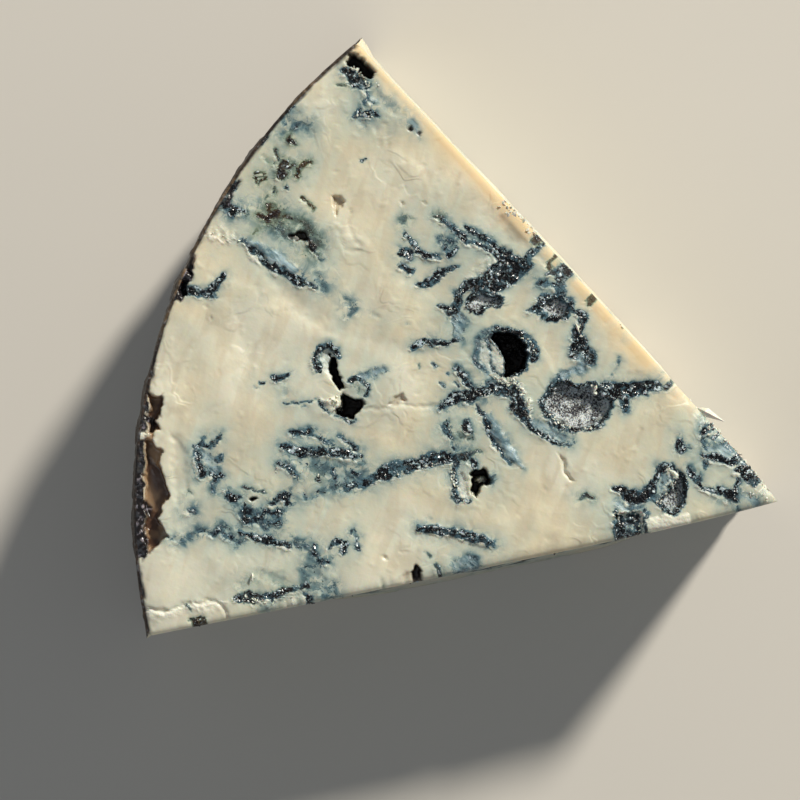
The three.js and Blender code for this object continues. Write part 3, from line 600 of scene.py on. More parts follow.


# All that the veins of one face do at its points: how mouldy, how olive, how far sunk, and where a vein's
# painted highlight lies on its side towards the key light.
# mould is the core's darkness, or outside it the stain, which falls off as exp(-distance / reach).
def veinFields(points, strokes, coolReach=24.0):
    count = len(points)
    core, strongest, clear, olive, sink, warmth, blue, litFringe = np.zeros((8, count))
    clear += 1
    warmth += 1
    for stroke in strokes:
        path, wide, reach = np.asarray(stroke["path"], float), stroke["wide"], stroke["reach"]
        margin = max(3.0 * reach, 2.2 * coolReach) + np.max(wide)
        near = insideBox(points, path, margin)
        if not len(near):
            continue
        edge = lineDistance(points[near], path, wide)
        soft = stroke["soft"]
        body = 1 - fade(-0.8 * soft, 0.8 * soft, edge)
        away = np.maximum(edge, 0) / reach
        halo = 0.55 * np.exp(-(away**2) / 1.6) + 0.45 * np.exp(-3 * away)
        halo = stroke["stain"] * halo * fade(3.0, 2.2, away)
        raiseTo(core, stroke["dark"] * body, near)
        raiseTo(blue, stroke["blue"] * body, near)
        # Painted highlight: a pale fringe on the edge of a stroke that faces the key light.
        beside = lineDistance(points[near] + stainLook["litFringeAt"], path, wide)
        litSide = fade(1, -1, beside) * fade(-1.2, 0.3, edge)
        raiseTo(litFringe, stroke["dark"] * min(1, np.max(wide) / 6) * litSide, near)
        raiseTo(strongest, stainLook["strongest"] * halo, near)
        clear[near] *= 1 - stainLook["adding"] * halo
        cooled = np.exp(-((np.maximum(edge, 0) / coolReach) ** 2))
        warmth[near] *= 1 - stainLook["cooling"] * stroke["stain"] * cooled
        raiseTo(olive, stroke["olive"] * np.exp(-((1.7 * away) ** 2)), near)
        sink[near] += (stroke["sink"] - sink[near]) * body
    mould = np.maximum.reduce([core, strongest, 1 - clear])
    return {"core": core, "mould": mould, "olive": olive, "sink": sink, "cool": 1 - warmth, "blue": blue,
            "litFringe": litFringe}


# Points moved a little this way and that, so that what is measured from them gets a ragged outline.
def ragged(points, place, coarse, fine):
    sizes = ((2.4, coarse), (1.1, fine), (0.6, 0.5 * fine))
    shift = [sum(far * noise(place, size, s + size) for size, far in sizes) for s in (21, 27)]
    return points + np.stack(shift, axis=1)


# What each lining of a hollow raises: the field, its most, and from where to where it grows, in pixels inside
# the hollow's outline.
liningFields = {
    "paste": [],
    # dark: mould lining, and painted shade over the part of an eye that lies in shadow
    "dark": [("dark", 1.0, -0.5, 1.5)],
    "fur": [("fur", 1.0, 1.5, 4.5)],
    "amber": [("amber", 1.0, -1, 2)],
    "tan": [("amber", 0.4, -1, 3)],
    # white: torn pale paste, and painted light on the shelf of an eye that faces the key light
    "white": [("paleTornAndLit", 0.8, -1, 3), ("blue", 0.3, -1, 3)],
    "crumb": [("mould", 0.62, 0, 3)],
}

# The low relief of the upper face, in millimetres. Noises are rows of height, size and seed.
relief = {
    "ragged": (3.0, 1.7),  # how far outlines wander, coarsely and finely, in pixels
    "rindSag": 0.45,
    "rindSagWide": 5.5,
    "crustNoise": ((0.35, 1.5, 46), (0.2, 0.8, 47)),
    "crustSunk": 0.25,
    "cutSlope": 0.12,
    "tornRise": 0.12,
    "tornRough": 0.22,
    "litFringeRise": 0.12,
    "swells": ((0.32, 26, 61), (0.30, 9, 63), (0.10, 4.4, 64)),
    "smearHigh": 0.07,
    "foldDeep": 0.05,
    "coarseCrests": 0.34,
    "fineCrests": 0.2,
    "furRough": 0.16,
    "speckHigh": 0.07,
}

# Turns points to the way the knife smeared the paste, and draws them out along it.
smearWay = np.array([[0.31, 0.95, 0], [-0.95, 0.31, 0], [0, 0, 1]]).T
smearStretch = (0.35, 1.0, 1)


# The upper face at any of its points, in millimetres: its height and all that it is coloured by.
def upperFace(xy):
    place = np.column_stack([xy, np.full(len(xy), wedge["thickness"])])
    pixels = ragged(toPhoto(xy), place, *relief["ragged"])
    fields = veinFields(pixels, [stroke for group in upperVeins.values() for stroke in group])
    fields.update({name: np.zeros(len(xy)) for name in ("fur", "amber", "dark", "paleTornAndLit", "steep")})
    height = -fields["sink"] * (0.75 + 0.5 * noise(place, 0.9, 5))
    fromEdge = -(xy - wedge["cutsMeet"]) @ outOfRightCut - wedge["cutRound"]
    for eye in upperHollows.values():
        outline = np.asarray(eye["outline"], float)
        near = insideBox(pixels, outline, 12)
        inside = insideDistance(pixels[near], outline) + 1.1 * noise(place[near], 0.9, 48)
        inside += 1.8 * noise(place[near], 2.0, 50) * (eye["lining"] == "amber")
        inside = np.minimum(inside, (fromEdge[near] - 0.1) / photo["scale"])
        towards = (pixels[near] - outline.mean(0)) @ (0.6, -0.8) / np.ptp(outline @ (0.6, -0.8))
        fall = fade(0, eye["wall"], inside) * np.clip(1 + 2 * eye["lean"] * towards, 0.1, 2)
        steep = fade(-3, 0, inside) * fade(eye["wall"] + 3, eye["wall"], inside) * min(1, eye["deep"])
        raiseTo(fields["steep"], steep, near)
        kept = np.minimum(height[near], 0) * (1 - np.minimum(fall, 1))
        height[near] = np.minimum(height[near], -eye["deep"] * fall + kept)
        for name, most, low, high in liningFields[eye["lining"]]:
            raiseTo(fields[name], most * fade(low, high, inside), near)
        if eye["lining"] == "fur":
            ring = 0.95 * fade(-2.5, -1, inside) * fade(4, 2, inside)
            raiseTo(fields["core"], ring, near)
            raiseTo(fields["mould"], ring, near)
        raiseTo(fields["mould"], eye["rim"] * fade(-5, -1, inside), near)
    fromDrum = np.linalg.norm(xy - wedge["cutsMeet"] - wedge["drumCentre"], axis=1)
    inward = (wedge["drumRadius"] - wedge["rindRound"] - fromDrum) / photo["scale"]
    crustEdge = inward - 0.8 - 2.2 * np.maximum(noise(place, 7, 44), 0) - 1.3 * noise(place, 1.6, 45)
    for path, wide in crustPlaces:
        crustEdge = np.minimum(crustEdge, np.maximum(lineDistance(pixels, path, wide), inward - 14))
    fields["crust"] = 1 - fade(-0.8, 1.2, crustEdge)
    sag = 1 - np.clip(inward * photo["scale"] / relief["rindSagWide"], 0, 1)
    height -= relief["rindSag"] * sag**2
    height += fields["crust"] * (layered(place, relief["crustNoise"]) - relief["crustSunk"])
    for path, wide, top in upperRibs.values():
        edge = lineDistance(pixels, path, wide)
        crest = -top - 0.5 * np.maximum(edge + 1.5, 0) ** 1.6
        rib = crest > height
        height = np.maximum(height, crest * (edge < 6) - 50 * (edge >= 6))
        raiseTo(fields["paleTornAndLit"], rib * (edge < 2) * 0.8)
        fields["dark"] *= 1 - rib * (edge < 2)
        fields["core"] *= 1 - 0.8 * rib * (edge < 1)
        fields["mould"] *= 1 - 0.8 * rib * (edge < 1)
        fields["crust"] *= 1 - rib * (edge < 1)
    for path, wide, deep in upperCreases:
        edge = lineDistance(pixels, path, 0)
        height -= deep * np.exp(-((edge / (wide / 2)) ** 2))
    for bevel in upperBevels:
        (x1, y1), (x2, y2) = bevel["line"]
        beyond = (pixels[:, 1] - y1) - (pixels[:, 0] - x1) * (y2 - y1) / (x2 - x1)
        ends = fade(bevel["ends"][0] - 3, bevel["ends"][0] + 3, pixels[:, 0])
        ends *= 1 - fade(bevel["ends"][1] - 3, bevel["ends"][1] + 3, pixels[:, 0])
        height -= bevel["slope"] * photo["scale"] * np.maximum(beyond, 0) * ends
        raiseTo(fields["paleTornAndLit"], fade(0, 2, beyond) * fade(12, 3, beyond) * ends)
        fields["cool"] *= 1 - 0.7 * fade(0, 3, beyond) * ends
    for x, y, long, wide, turn, rise in roughPatches:
        t = np.radians(turn)
        across = pixels - (x, y)
        a = (across[:, 0] * np.cos(t) + across[:, 1] * np.sin(t)) / (long / 2)
        b = (across[:, 1] * np.cos(t) - across[:, 0] * np.sin(t)) / (wide / 2)
        patch = 1 - fade(0.55, 1.15, np.hypot(a, b))
        height += rise * patch * (roughNoise(place, 0.9, 41) + 0.2)
        raiseTo(fields["paleTornAndLit"], 0.9 * patch * fade(-0.2, 0.5, noise(place, 0.8, 43)))
    wide = 1.6 + 0.6 * noise(place, 13, 49)
    height -= relief["cutSlope"] * wide * (1 - np.clip(fromEdge / wide, 0, 1)) ** 2
    for path, wide in tornRims:
        torn = 1 - fade(-1.5, 1.0, lineDistance(pixels, path, wide))
        torn = torn * fade(-0.55, 0.1, noise(place, 1.2, 51)) * (1 - fields["dark"])
        raiseTo(fields["paleTornAndLit"], torn)
        for name in ("core", "mould", "blue"):
            fields[name] *= 1 - 0.75 * torn
        height += torn * (relief["tornRise"] + relief["tornRough"] * noise(place, 0.8, 52))
    quiet = 1 - np.maximum(fields["dark"], fields["fur"])
    # Painted highlight: each vein's edge towards the key light is painted pale, like torn paste, and raised a
    # little.
    litFringe = fields["litFringe"] * quiet * fade(-0.25, 0.2, noise(place, 1.1, 53)) * (1 - fields["crust"])
    raiseTo(fields["paleTornAndLit"], litFringe)
    fields["mould"] *= 1 - 0.5 * litFringe
    height += relief["litFringeRise"] * litFringe
    height += layered(place, relief["swells"])
    smear = place @ smearWay * smearStretch
    height += quiet * relief["smearHigh"] * noise(smear, 2.8, 65)
    folds = np.maximum(0, 1 - 6 * np.abs(noise(smear, 7, 68))) * fade(0.0, 0.5, noise(place, 11, 66))
    height -= quiet * relief["foldDeep"] * folds
    # Crests between the clumps of mould lie where a noise crosses zero.
    mouldy = fade(0.4, 0.85, fields["mould"]) * quiet
    crests = relief["coarseCrests"] * (0.5 - np.abs(noise(place, 2.1, 69)))
    crests += relief["fineCrests"] * (0.5 - np.abs(noise(place, 1.1, 70)))
    height += mouldy * crests
    height += relief["furRough"] * fields["fur"] * noise(place, 0.6, 71)
    specks = noise(place, 1.3, 73)
    height += relief["speckHigh"] * quiet * (fade(0.62, 0.85, specks) - fade(0.62, 0.85, -specks))
    fields["height"] = height
    return fields


# Rows of points from the point of the wedge to its rind, one more in each row, spread evenly between the
# cuts.
def wedgeGrid(rows):
    row = np.repeat(np.arange(rows + 1), np.arange(1, rows + 2))
    step = np.arange(len(row)) - row * (row + 1) // 2
    share = np.where(row > 0, step / np.maximum(row, 1), 0.5)
    angle = halfAngle * (2 * share - 1)
    way = np.stack([-np.cos(angle), np.sin(angle)], axis=1)
    start = np.array([-wedge["cutRound"] / np.sin(halfAngle), 0])
    toCentre = np.array(wedge["drumCentre"]) - start
    along = way @ toCentre
    radius = wedge["drumRadius"] - wedge["rindRound"]
    reach = along + np.sqrt(along**2 - toCentre @ toCentre + radius**2)
    return row, step, share, start + way * (reach * row / rows)[:, None] + wedge["cutsMeet"]


# The triangles of such a grid, facing up.
def gridFaces(row, step, rows):
    here = np.arange(len(row))
    first = row < rows
    below = here[first] + row[first] + 1
    upright = np.stack([here[first], below + 1, below], axis=1)
    second = first & (step < row)
    below = here[second] + row[second] + 1
    return np.vstack([upright, np.stack([here[second], here[second] + 1, below + 1], axis=1)])


# Points drawn towards where the weight is: each moves to the weighted middle of its six neighbours.
def drawTogether(points, row, step, rows, weight, rounds):
    inner = np.flatnonzero((step > 0) & (step < row) & (row < rows))
    r = row[inner]
    around = np.stack([inner - 1, inner + 1, inner - r - 1, inner - r, inner + r + 1, inner + r + 2])
    for _ in range(4):
        weight[inner] = weight[around].mean(0)
    pull = weight[around]
    pull /= pull.sum(0)
    for _ in range(rounds):
        points[inner] = (points[around] * pull[:, :, None]).sum(0)
    return points


# The numbers of the grid's rim: out along the lower cut, over the rind, and back along the right-hand cut.
def gridRim(rows):
    rowStart = np.arange(rows + 1) * (np.arange(rows + 1) + 1) // 2
    lower = rowStart[:rows]
    rind = rowStart[rows] + np.arange(rows + 1)
    right = (rowStart + np.arange(rows + 1))[rows - 1:0:-1]
    return np.concatenate([lower, rind, right])


# Veins for a face that the photograph doesn't show: random walks inside a box.
def madeUpVeins(seed, wide, high, count):
    source = np.random.default_rng(seed)
    strokes = []
    for _ in range(count):
        length = source.integers(3, 7)
        heading = source.uniform(0, 2 * np.pi)
        spot = source.uniform((3, 1), (wide - 3, high - 1))
        path = [spot]
        for _ in range(length):
            heading += source.normal(0, 0.6)
            spot = spot + source.uniform(1.0, 2.6) * np.array([np.cos(heading), 0.8 * np.sin(heading)])
            path.append(spot)
        width = source.uniform(0.5, 2.0, length + 1)
        strokes.append(vein(path, width, source.uniform(0.75, 1), source.uniform(0.5, 1), 1.6,
                            source.uniform(0, 0.5) ** 2, 0.15, 0.35))
    return strokes


# Ovals of random place, length, width and turn, with linings that take turns.
def madeUpEyes(seed, wide, high, count):
    source = np.random.default_rng(seed)
    eyes = []
    for lining in itertools.islice(itertools.cycle(("dark", "fur", "dark", "paste")), count):
        outline = oval(source.uniform(8, wide - 8), source.uniform(6, high - 6), source.uniform(3, 8),
                       source.uniform(1.8, 4), source.uniform(-40, 40))
        eyes.append(hollow(outline, source.uniform(1.2, 3.6), 0.8, lining))
    return eyes


# A face that the photograph doesn't show, at (along, up) in millimetres: how far it is sunk and its colours.
def hiddenFace(flat, place, strokes, eyes):
    flat = ragged(flat, place, 0.3, 0.2)
    fields = veinFields(flat, strokes, 4.0)
    fields.update({name: np.zeros(len(flat)) for name in ("fur", "amber", "dark", "paleTornAndLit", "crust")})
    height = -fields["sink"] * (0.8 + 0.4 * noise(place, 0.9, 5))
    for eye in eyes:
        inside = insideDistance(flat, eye["outline"])
        fall = fade(0, eye["wall"], inside)
        height = np.minimum(height, -eye["deep"] * fall)
        if eye["lining"] != "paste":
            raiseTo(fields["mould"], 0.8 * fade(-1.0, -0.3, inside))
            raiseTo(fields[eye["lining"]], fade(0, 0.4, inside))
    height += layered(place, ((0.12, 12, 81), (0.05, 3, 83)))
    height += 0.12 * fields["core"] * noise(place, 0.8, 85) + 0.12 * fields["fur"] * noise(place, 0.7, 87)
    fields["height"] = height
    return fields


fieldNames = ("core", "mould", "blue", "olive", "cool", "fur", "amber", "dark", "paleTornAndLit", "crust")

# The faces that the photograph doesn't show: seed, numbers of veins and eyes, the box they lie in, in
# millimetres, and how much of the mould is left in the half by the rind.
hiddenLook = {
    "lower": {"seed": 101, "veins": 62, "eyes": 7, "box": (106, 36), "byRind": 1.0},
    "right": {"seed": 202, "veins": 62, "eyes": 7, "box": (106, 36), "byRind": 0.3},
    "under": {"seed": 303, "veins": 110, "eyes": 0, "box": (100, 112), "corner": (-54, -56)},
}


# The made-up veins and eyes of one hidden face.
def madeUp(look):
    seed, box = look["seed"], look["box"]
    return madeUpVeins(seed, *box, look["veins"]), madeUpEyes(seed + 1, *box, look["eyes"])


# For each point of the rim, numbered as gridRim does: whether it is the rind's, which way is outward, how far
# and which way the wall below it splays, how far the cut bellies out, and its distance from the point.
def rimWays(plan):
    rows = wedge["rows"]
    number = np.arange(len(plan))
    onRind = (number >= rows) & (number <= 2 * rows)
    across = np.clip((number - rows) / rows, 0, 1) * 2 - 1
    fromTip = np.linalg.norm(plan, axis=1)
    radial = plan - wedge["drumCentre"]
    radial /= np.linalg.norm(radial, axis=1)[:, None]
    out = np.where(onRind[:, None], radial, np.where((number < rows)[:, None], outOfLowerCut, outOfRightCut))
    flare = np.where(number < 1.5 * rows, wedge["flareLower"], wedge["flareRight"])
    spread = np.where(onRind[:, None], np.stack([radial[:, 1], -radial[:, 0]], axis=1) * across[:, None], out)
    nearRind = np.where(number <= rows, fade(102, 66, fromTip), 1.0)
    nearRind = np.where(onRind, fade(-1.0, -0.6, across), nearRind)
    spread = spread * (flare * nearRind * np.where(onRind, 1, fade(5, 30, fromTip)))[:, None]
    out[0] = (wedge["tipReach"], 0)
    spread[0] = 0
    out[rows] += outOfLowerCut
    out[2 * rows] += outOfRightCut
    along = np.clip(fromTip / wedge["cutLong"], 0, 1) ** 0.55
    belly = np.where(onRind, 0, wedge["bow"] * np.sin(np.pi * along))
    return onRind, out, spread, belly, fromTip


# Two triangles for each step between a ring of points and the one below it.
def ringFaces(above, below):
    nextAbove, nextBelow = np.roll(above, -1), np.roll(below, -1)
    first = np.stack([above, nextAbove, nextBelow], 1)
    return np.vstack([first, np.stack([above, nextBelow, below], 1)])


# The two knife cuts at their points on the wall, at (along, up): colours and depth. Mould keeps away from the
# edges.
def cutFields(flat, place, sides):
    fields = {name: np.zeros(len(flat)) for name in fieldNames + ("height",)}
    for look, side in sides:
        mine = np.flatnonzero(side)
        made = hiddenFace(flat[mine], place[mine], *madeUp(look))
        along, up = flat[mine].T
        inner = 0.12 + 0.88 * fade(35, 26, up) * fade(1, 11, up)
        inner *= look["byRind"] + (1 - look["byRind"]) * fade(64, 50, along)
        for name in fields:
            fields[name][mine] = made[name]
        for name in ("core", "mould", "fur", "dark"):
            fields[name][mine] *= inner
    return fields


# How far the rind stands out: its bulge and its folds, less its pits.
def rindRelief(place, share):
    lump = wedge["rindBulge"] * np.sin(np.pi * share)
    folds = 0.5 * noise(place * (1, 1, 1.5), 9, 91)
    folds = folds + 0.32 * noise(place, 3.2, 93) + 0.2 * noise(place, 1.3, 95)
    pits = 0.8 * fade(0.45, 0.8, noise(place, 2.4, 97))
    return lump + folds - pits


# The underside: a coarser grid inside the foot of the wall. Each row is carried by its two ends, and the last
# rows also by the foot of the rind.
def makeUnderside(footAt, rows):
    row, step, share, grid = wedgeGrid(rows)
    rim = gridRim(rows)
    shift = footAt - grid[rim]
    lowerEnd, rightEnd = shift[:rows + 1], np.vstack([shift[:1], shift[:2 * rows - 1:-1]])
    carried = (1 - share)[:, None] * lowerEnd[row] + share[:, None] * rightEnd[row]
    t = np.arange(rows + 1) / rows
    rest = shift[rows:2 * rows + 1] - (1 - t)[:, None] * lowerEnd[-1] - t[:, None] * rightEnd[-1]
    bend = np.stack([np.interp(share, t, rest[:, i]) for i in range(2)], axis=1)
    grid = grid + carried + ((row / rows) ** 3)[:, None] * bend
    grid[rim] = footAt
    look = hiddenLook["under"]
    place = np.column_stack([grid, np.zeros(len(grid))])
    fields = hiddenFace(grid - look["corner"], place, *madeUp(look))
    lift = -np.minimum(fields["height"] + 0.15, 0)
    lift[rim] = 0
    return rim, np.column_stack([grid, lift]), gridFaces(row, step, rows), fields


# The whole wedge as one closed surface: upper face, walls and underside.
def makeWedge():
    rows = wedge["rows"]
    row, step, _, xy = wedgeGrid(rows)
    for _ in range(wedge["drawPasses"]):
        fields = upperFace(xy)
        busy = np.maximum.reduce([0.6 * fields["core"], 0.5 * fields["fur"], 0.4 * fields["paleTornAndLit"],
                                  fields["steep"]])
        xy = drawTogether(xy, row, step, rows, 1 + 1.5 * busy, wedge["drawRounds"])
    top = upperFace(xy)
    upper = np.column_stack([xy, wedge["thickness"] + top["height"]])
    rim = gridRim(rows)
    around = len(rim)
    rimHigh = upper[rim, 2]
    onRind, out, spread, belly, fromTip = rimWays(upper[rim, :2] - wedge["cutsMeet"])
    edgeRound = np.where(onRind, wedge["rindRound"], wedge["cutRound"])

    # The rounded edge, in rings that repeat the rim and its colours.
    points = [upper]
    values = {name: [top[name]] for name in fieldNames}
    faces = [gridFaces(row, step, rows)]
    isRind = [np.zeros(len(faces[0]), bool)]
    ring = rim
    total = len(upper)
    for level in range(1, wedge["edgeSteps"] + 1):
        turn = level / wedge["edgeSteps"] * np.pi / 2
        at = upper[rim, :2] + out * ((edgeRound + belly) * np.sin(turn))[:, None]
        points.append(np.column_stack([at, rimHigh - edgeRound * (1 - np.cos(turn))]))
        for name in fieldNames:
            values[name].append(top[name][rim])
        below = total + np.arange(around)
        total += around
        faces.append(ringFaces(ring, below))
        isRind.append(np.tile(onRind & np.roll(onRind, -1), 2))
        ring = below

    # The walls have every second point of the rim. The cuts stand upright at the top and splay towards the
    # foot.
    half = np.arange(around)[::2]
    steps = wedge["wallSteps"]
    share = np.arange(1, steps + 1)[:, None] / steps * np.ones(len(half))
    high = (rimHigh - edgeRound)[half] * (1 - share)
    base = upper[rim[half], :2] + out[half] * (edgeRound + belly)[half][:, None]
    splay = 1 + np.where(onRind, 0, fade(104.5, 97, fromTip))[half]
    wall = base + spread[half] * (share**splay)[:, :, None]
    place = np.column_stack([wall.reshape(-1, 2), high.ravel()])
    rindAt = np.tile(onRind[half], steps)
    flat = np.column_stack([np.tile(fromTip[half], steps), high.ravel()])
    side = np.tile(half, steps)
    sides = ((hiddenLook["lower"], side < rows), (hiddenLook["right"], side > 2 * rows))
    cuts = cutFields(flat, place, sides)
    sunk = np.where(rindAt, rindRelief(place, share.ravel()), cuts["height"])
    sunk = sunk * np.minimum(1, 3.5 * share.ravel())
    push = sunk.reshape(steps, -1) - 0.35 * fade(0.97, 1, share)
    wall = wall + out[half] * push[:, :, None]
    points.append(np.column_stack([wall.reshape(-1, 2), high.ravel()]))
    # The colours of the rim run down over the edge for a short way.
    carry = 1 - fade(0.01, 0.12, share + 0.05 * noise(place, 3, 99).reshape(steps, -1))
    for name in fieldNames:
        fromTop = np.tile(top[name][rim[half]], steps) * carry.ravel()
        fromTop *= name not in ("dark", "fur", "amber")
        values[name].append(np.where(rindAt, 0, np.maximum(cuts[name], fromTop)))

    first = total + np.arange(len(half))
    after = np.roll(first, -1)
    edgeA, edgeB, edgeC = ring[::2], ring[1::2], np.roll(ring[::2], -1)
    faces.append(np.vstack([np.stack([edgeA, edgeB, first], 1), np.stack([edgeB, after, first], 1),
                            np.stack([edgeB, edgeC, after], 1)]))
    rindHalf = onRind[half] & np.roll(onRind[half], -1)
    isRind.append(np.tile(rindHalf, 3))
    for level in range(1, steps):
        above = first + (level - 1) * len(half)
        faces.append(ringFaces(above, above + len(half)))
        isRind.append(np.tile(rindHalf, 2))
    total += steps * len(half)

    # The underside shares its rim with the wall's last ring.
    lowRim, low, lowFaces, under = makeUnderside(wall[-1], rows // 2)
    inner = np.ones(len(low), bool)
    inner[lowRim] = False
    newNumber = np.empty(len(low), int)
    newNumber[inner] = total + np.arange(inner.sum())
    newNumber[lowRim] = first + (steps - 1) * len(half)
    points.append(low[inner])
    for name in fieldNames:
        values[name].append(under[name][inner])
    faces.append(newNumber[lowFaces][:, ::-1])
    isRind.append(np.zeros(len(lowFaces), bool))

    fields = {name: np.concatenate(parts) for name, parts in values.items()}
    return np.vstack(points), np.vstack(faces), np.concatenate(isRind), fields


# An object of the given data at the origin of the scene.
def placeInScene(name, data):
    obj = bpy.data.objects.new(name, data)
    bpy.context.scene.collection.objects.link(obj)
    return obj


# A mesh object at the origin, from points in millimetres.
def makeObject(name, points, faces, fields, materials, materialOf=None, smooth=True):
    mesh = bpy.data.meshes.new(name)
    mesh.from_pydata((points * mm).tolist(), [], faces.tolist())
    for field, value in fields.items():
        attribute = mesh.attributes.new(field, "FLOAT", "POINT")
        attribute.data.foreach_set("value", value.astype(np.float32))
    for material in materials:
        mesh.materials.append(material)
    if materialOf is not None:
        mesh.polygons.foreach_set("material_index", materialOf.astype(np.int32))
    mesh.polygons.foreach_set("use_smooth", np.full(len(faces), smooth))
    mesh.update()
    return placeInScene(name, mesh)


# Grains of mould, with half sizes and heights in millimetres. Fur and the walls get a smaller share of them,
# and on the walls they keep to a band.
grainChoices = {
    "count": 4200,
    "small": 0.09,
    "large": 0.34,
    "seed": 5,
    "onFur": 0.25,
    "onWalls": 0.3,
    "topFrom": 34,
    "wallBand": (9, 27),
}


# Small uneven lumps of twenty faces, strewn by chance in proportion to a face's area and its darkness.
def makeGrains(points, faces, fields):
    source = np.random.default_rng(grainChoices["seed"])
    corner = points[faces]
    normal = np.cross(corner[:, 1] - corner[:, 0], corner[:, 2] - corner[:, 0])
    area = np.linalg.norm(normal, axis=1) / 2
    normal /= np.maximum(2 * area, 1e-12)[:, None]
    core = fields["core"][faces].mean(1)
    calm = 1 - np.maximum(fields["dark"][faces].mean(1), fields["amber"][faces].mean(1))
    furry = fields["fur"][faces].mean(1)
    wanted = area * fade(0.45, 0.95, core) * calm + grainChoices["onFur"] * area * fade(0.5, 1, furry)
    high = corner.mean(1)[:, 2]
    onTop = high > grainChoices["topFrom"]
    bandLow, bandHigh = grainChoices["wallBand"]
    wanted *= np.where(onTop, 1.0, grainChoices["onWalls"]) * (onTop | ((high < bandHigh) & (high > bandLow)))
    count = grainChoices["count"]
    chosen = source.choice(len(faces), count, p=wanted / wanted.sum())
    small, large = grainChoices["small"], grainChoices["large"]
    size = small + (large - small) * source.random(count) ** 2.2
    weights = source.dirichlet((1, 1, 1), count)
    middle = (corner[chosen] * weights[:, :, None]).sum(1)
    middle += normal[chosen] * (size * source.uniform(-0.5, 0.1, count))[:, None]
    sizes = size[:, None] * source.uniform(0.5, 1.6, (count, 3)) * (1, 0.8, 0.4)
    spots, allFaces = makeLumps(source, middle, sizes)
    # Most are black, the pale ones lie towards the edges of a vein and on fur.
    tone = source.random(count) + 0.35 * noise(middle, 2.5, 55) - 0.30 * fade(0.75, 1.0, core[chosen]) + 0.12
    tone = np.clip(tone + 0.35 * furry[chosen], 0, 1)
    return spots, allFaces, {"tone": np.repeat(tone, 12)}


crumbChoices = {
    "share": 0.6,  # of the counts below
    "from": 26,  # height in millimetres
    "seed": 8,
    "lightColour": rgb(0.82, 0.79, 0.68),
    "greyColour": rgb(0.62, 0.62, 0.54),
    "roughness": 0.5,
}

# Crumbs of pale paste: where they lie, as lines in pixels with a width, a count and a half size in
# millimetres.
crumbPlaces = [
    ([(690, 397), (703, 411), (722, 432), (750, 464), (774, 499)], 5, 330, 0.20),
    ([(706, 426), (724, 440)], 14, 120, 0.16),
    ([(503, 205), (520, 220), (534, 234)], 10, 230, 0.21),
    ([(493, 376), (505, 382), (516, 380)], 5, 110, 0.19),
    ([(519, 334), (530, 342), (535, 354)], 5, 60, 0.13),
    ([(520, 386), (528, 402), (530, 416)], 7, 120, 0.18),
    ([(453, 470), (456, 488), (464, 500)], 4, 70, 0.15),
    ([(478, 480), (484, 482)], 3, 12, 0.18),
    ([(668, 470), (676, 478), (664, 496), (656, 508)], 5, 90, 0.17),
    ([(616, 516), (636, 512), (642, 530), (624, 540)], 9, 150, 0.17),
    ([(352, 66), (360, 72), (366, 84), (378, 84)], 4, 80, 0.17),
    ([(358, 112), (370, 116)], 7, 40, 0.14),
    ([(322, 400), (334, 399), (338, 408)], 7, 60, 0.16),
    ([(318, 356), (326, 352)], 4, 25, 0.12),
    ([(390, 478), (412, 470), (438, 463)], 3, 60, 0.15),
    ([(584, 336), (576, 322)], 3, 30, 0.17),
    ([(548, 416), (562, 426), (580, 432), (600, 426)], 4, 110, 0.14),
    ([(594, 384), (596, 396)], 2, 25, 0.17),
    ([(246, 598), (268, 604), (300, 592)], 5, 60, 0.15),
    ([(196, 236), (230, 240), (250, 240)], 10, 70, 0.12),
    ([(276, 470), (298, 474), (320, 478)], 8, 40, 0.12),
    ([(620, 322), (628, 334)], 4, 30, 0.15),
    ([(746, 494), (768, 499)], 8, 60, 0.14),
    ([(294.5, 237.5), (295.5, 238.5)], 2, 9, 0.26),
]

# Thin flakes: from, to, width and how high they stand over the face, in pixels and millimetres.
flakes = [
    ((697, 407), (726, 422), 9, 0.2),
    ((597, 384), (593, 394), 3.5, 0.3),
    ((483, 479), (479, 484), 3.5, -1.2),
    ((252, 573), (253, 581), 2.5, 0.4),
    ((355, 64), (360, 73), 3.0, 0.2),
    ((575, 322), (580, 334), 3.0, 0.25),
]


# Uneven chips of twenty faces, each with its own middle and half sizes, turned any way round.
def makeLumps(source, middle, size):
    golden = (1 + 5**0.5) / 2
    signs = list(itertools.product((-1, 1), (-golden, golden)))
    ball = [(0, a, b) for a, b in signs] + [(a, b, 0) for a, b in signs] + [(b, 0, a) for a, b in signs]
    ball = np.array(ball)
    ball /= np.linalg.norm(ball[0])
    triples = np.array(list(itertools.combinations(range(12), 3)))
    sides = np.stack([ball[triples[:, i]] - ball[triples[:, i - 1]] for i in range(3)])
    triples = triples[np.all(np.linalg.norm(sides, axis=2) < 1.1, axis=0)]
    a, b, c = ball[triples].transpose(1, 0, 2)
    inward = np.einsum("ij,ij->i", np.cross(b - a, c - a), a + b + c) < 0
    triples[inward] = triples[inward][:, ::-1]
    lumps = ball * (1 + source.uniform(-0.5, 0.5, (len(middle), 12, 1))) * size[:, None, :]
    turns = np.linalg.qr(source.normal(size=(len(middle), 3, 3)))[0]
    turns *= np.sign(np.linalg.det(turns))[:, None, None]
    spots = (middle[:, None, :] + np.einsum("nij,nkj->nki", turns, lumps)).reshape(-1, 3)
    return spots, (triples + 12 * np.arange(len(middle))[:, None, None]).reshape(-1, 3)


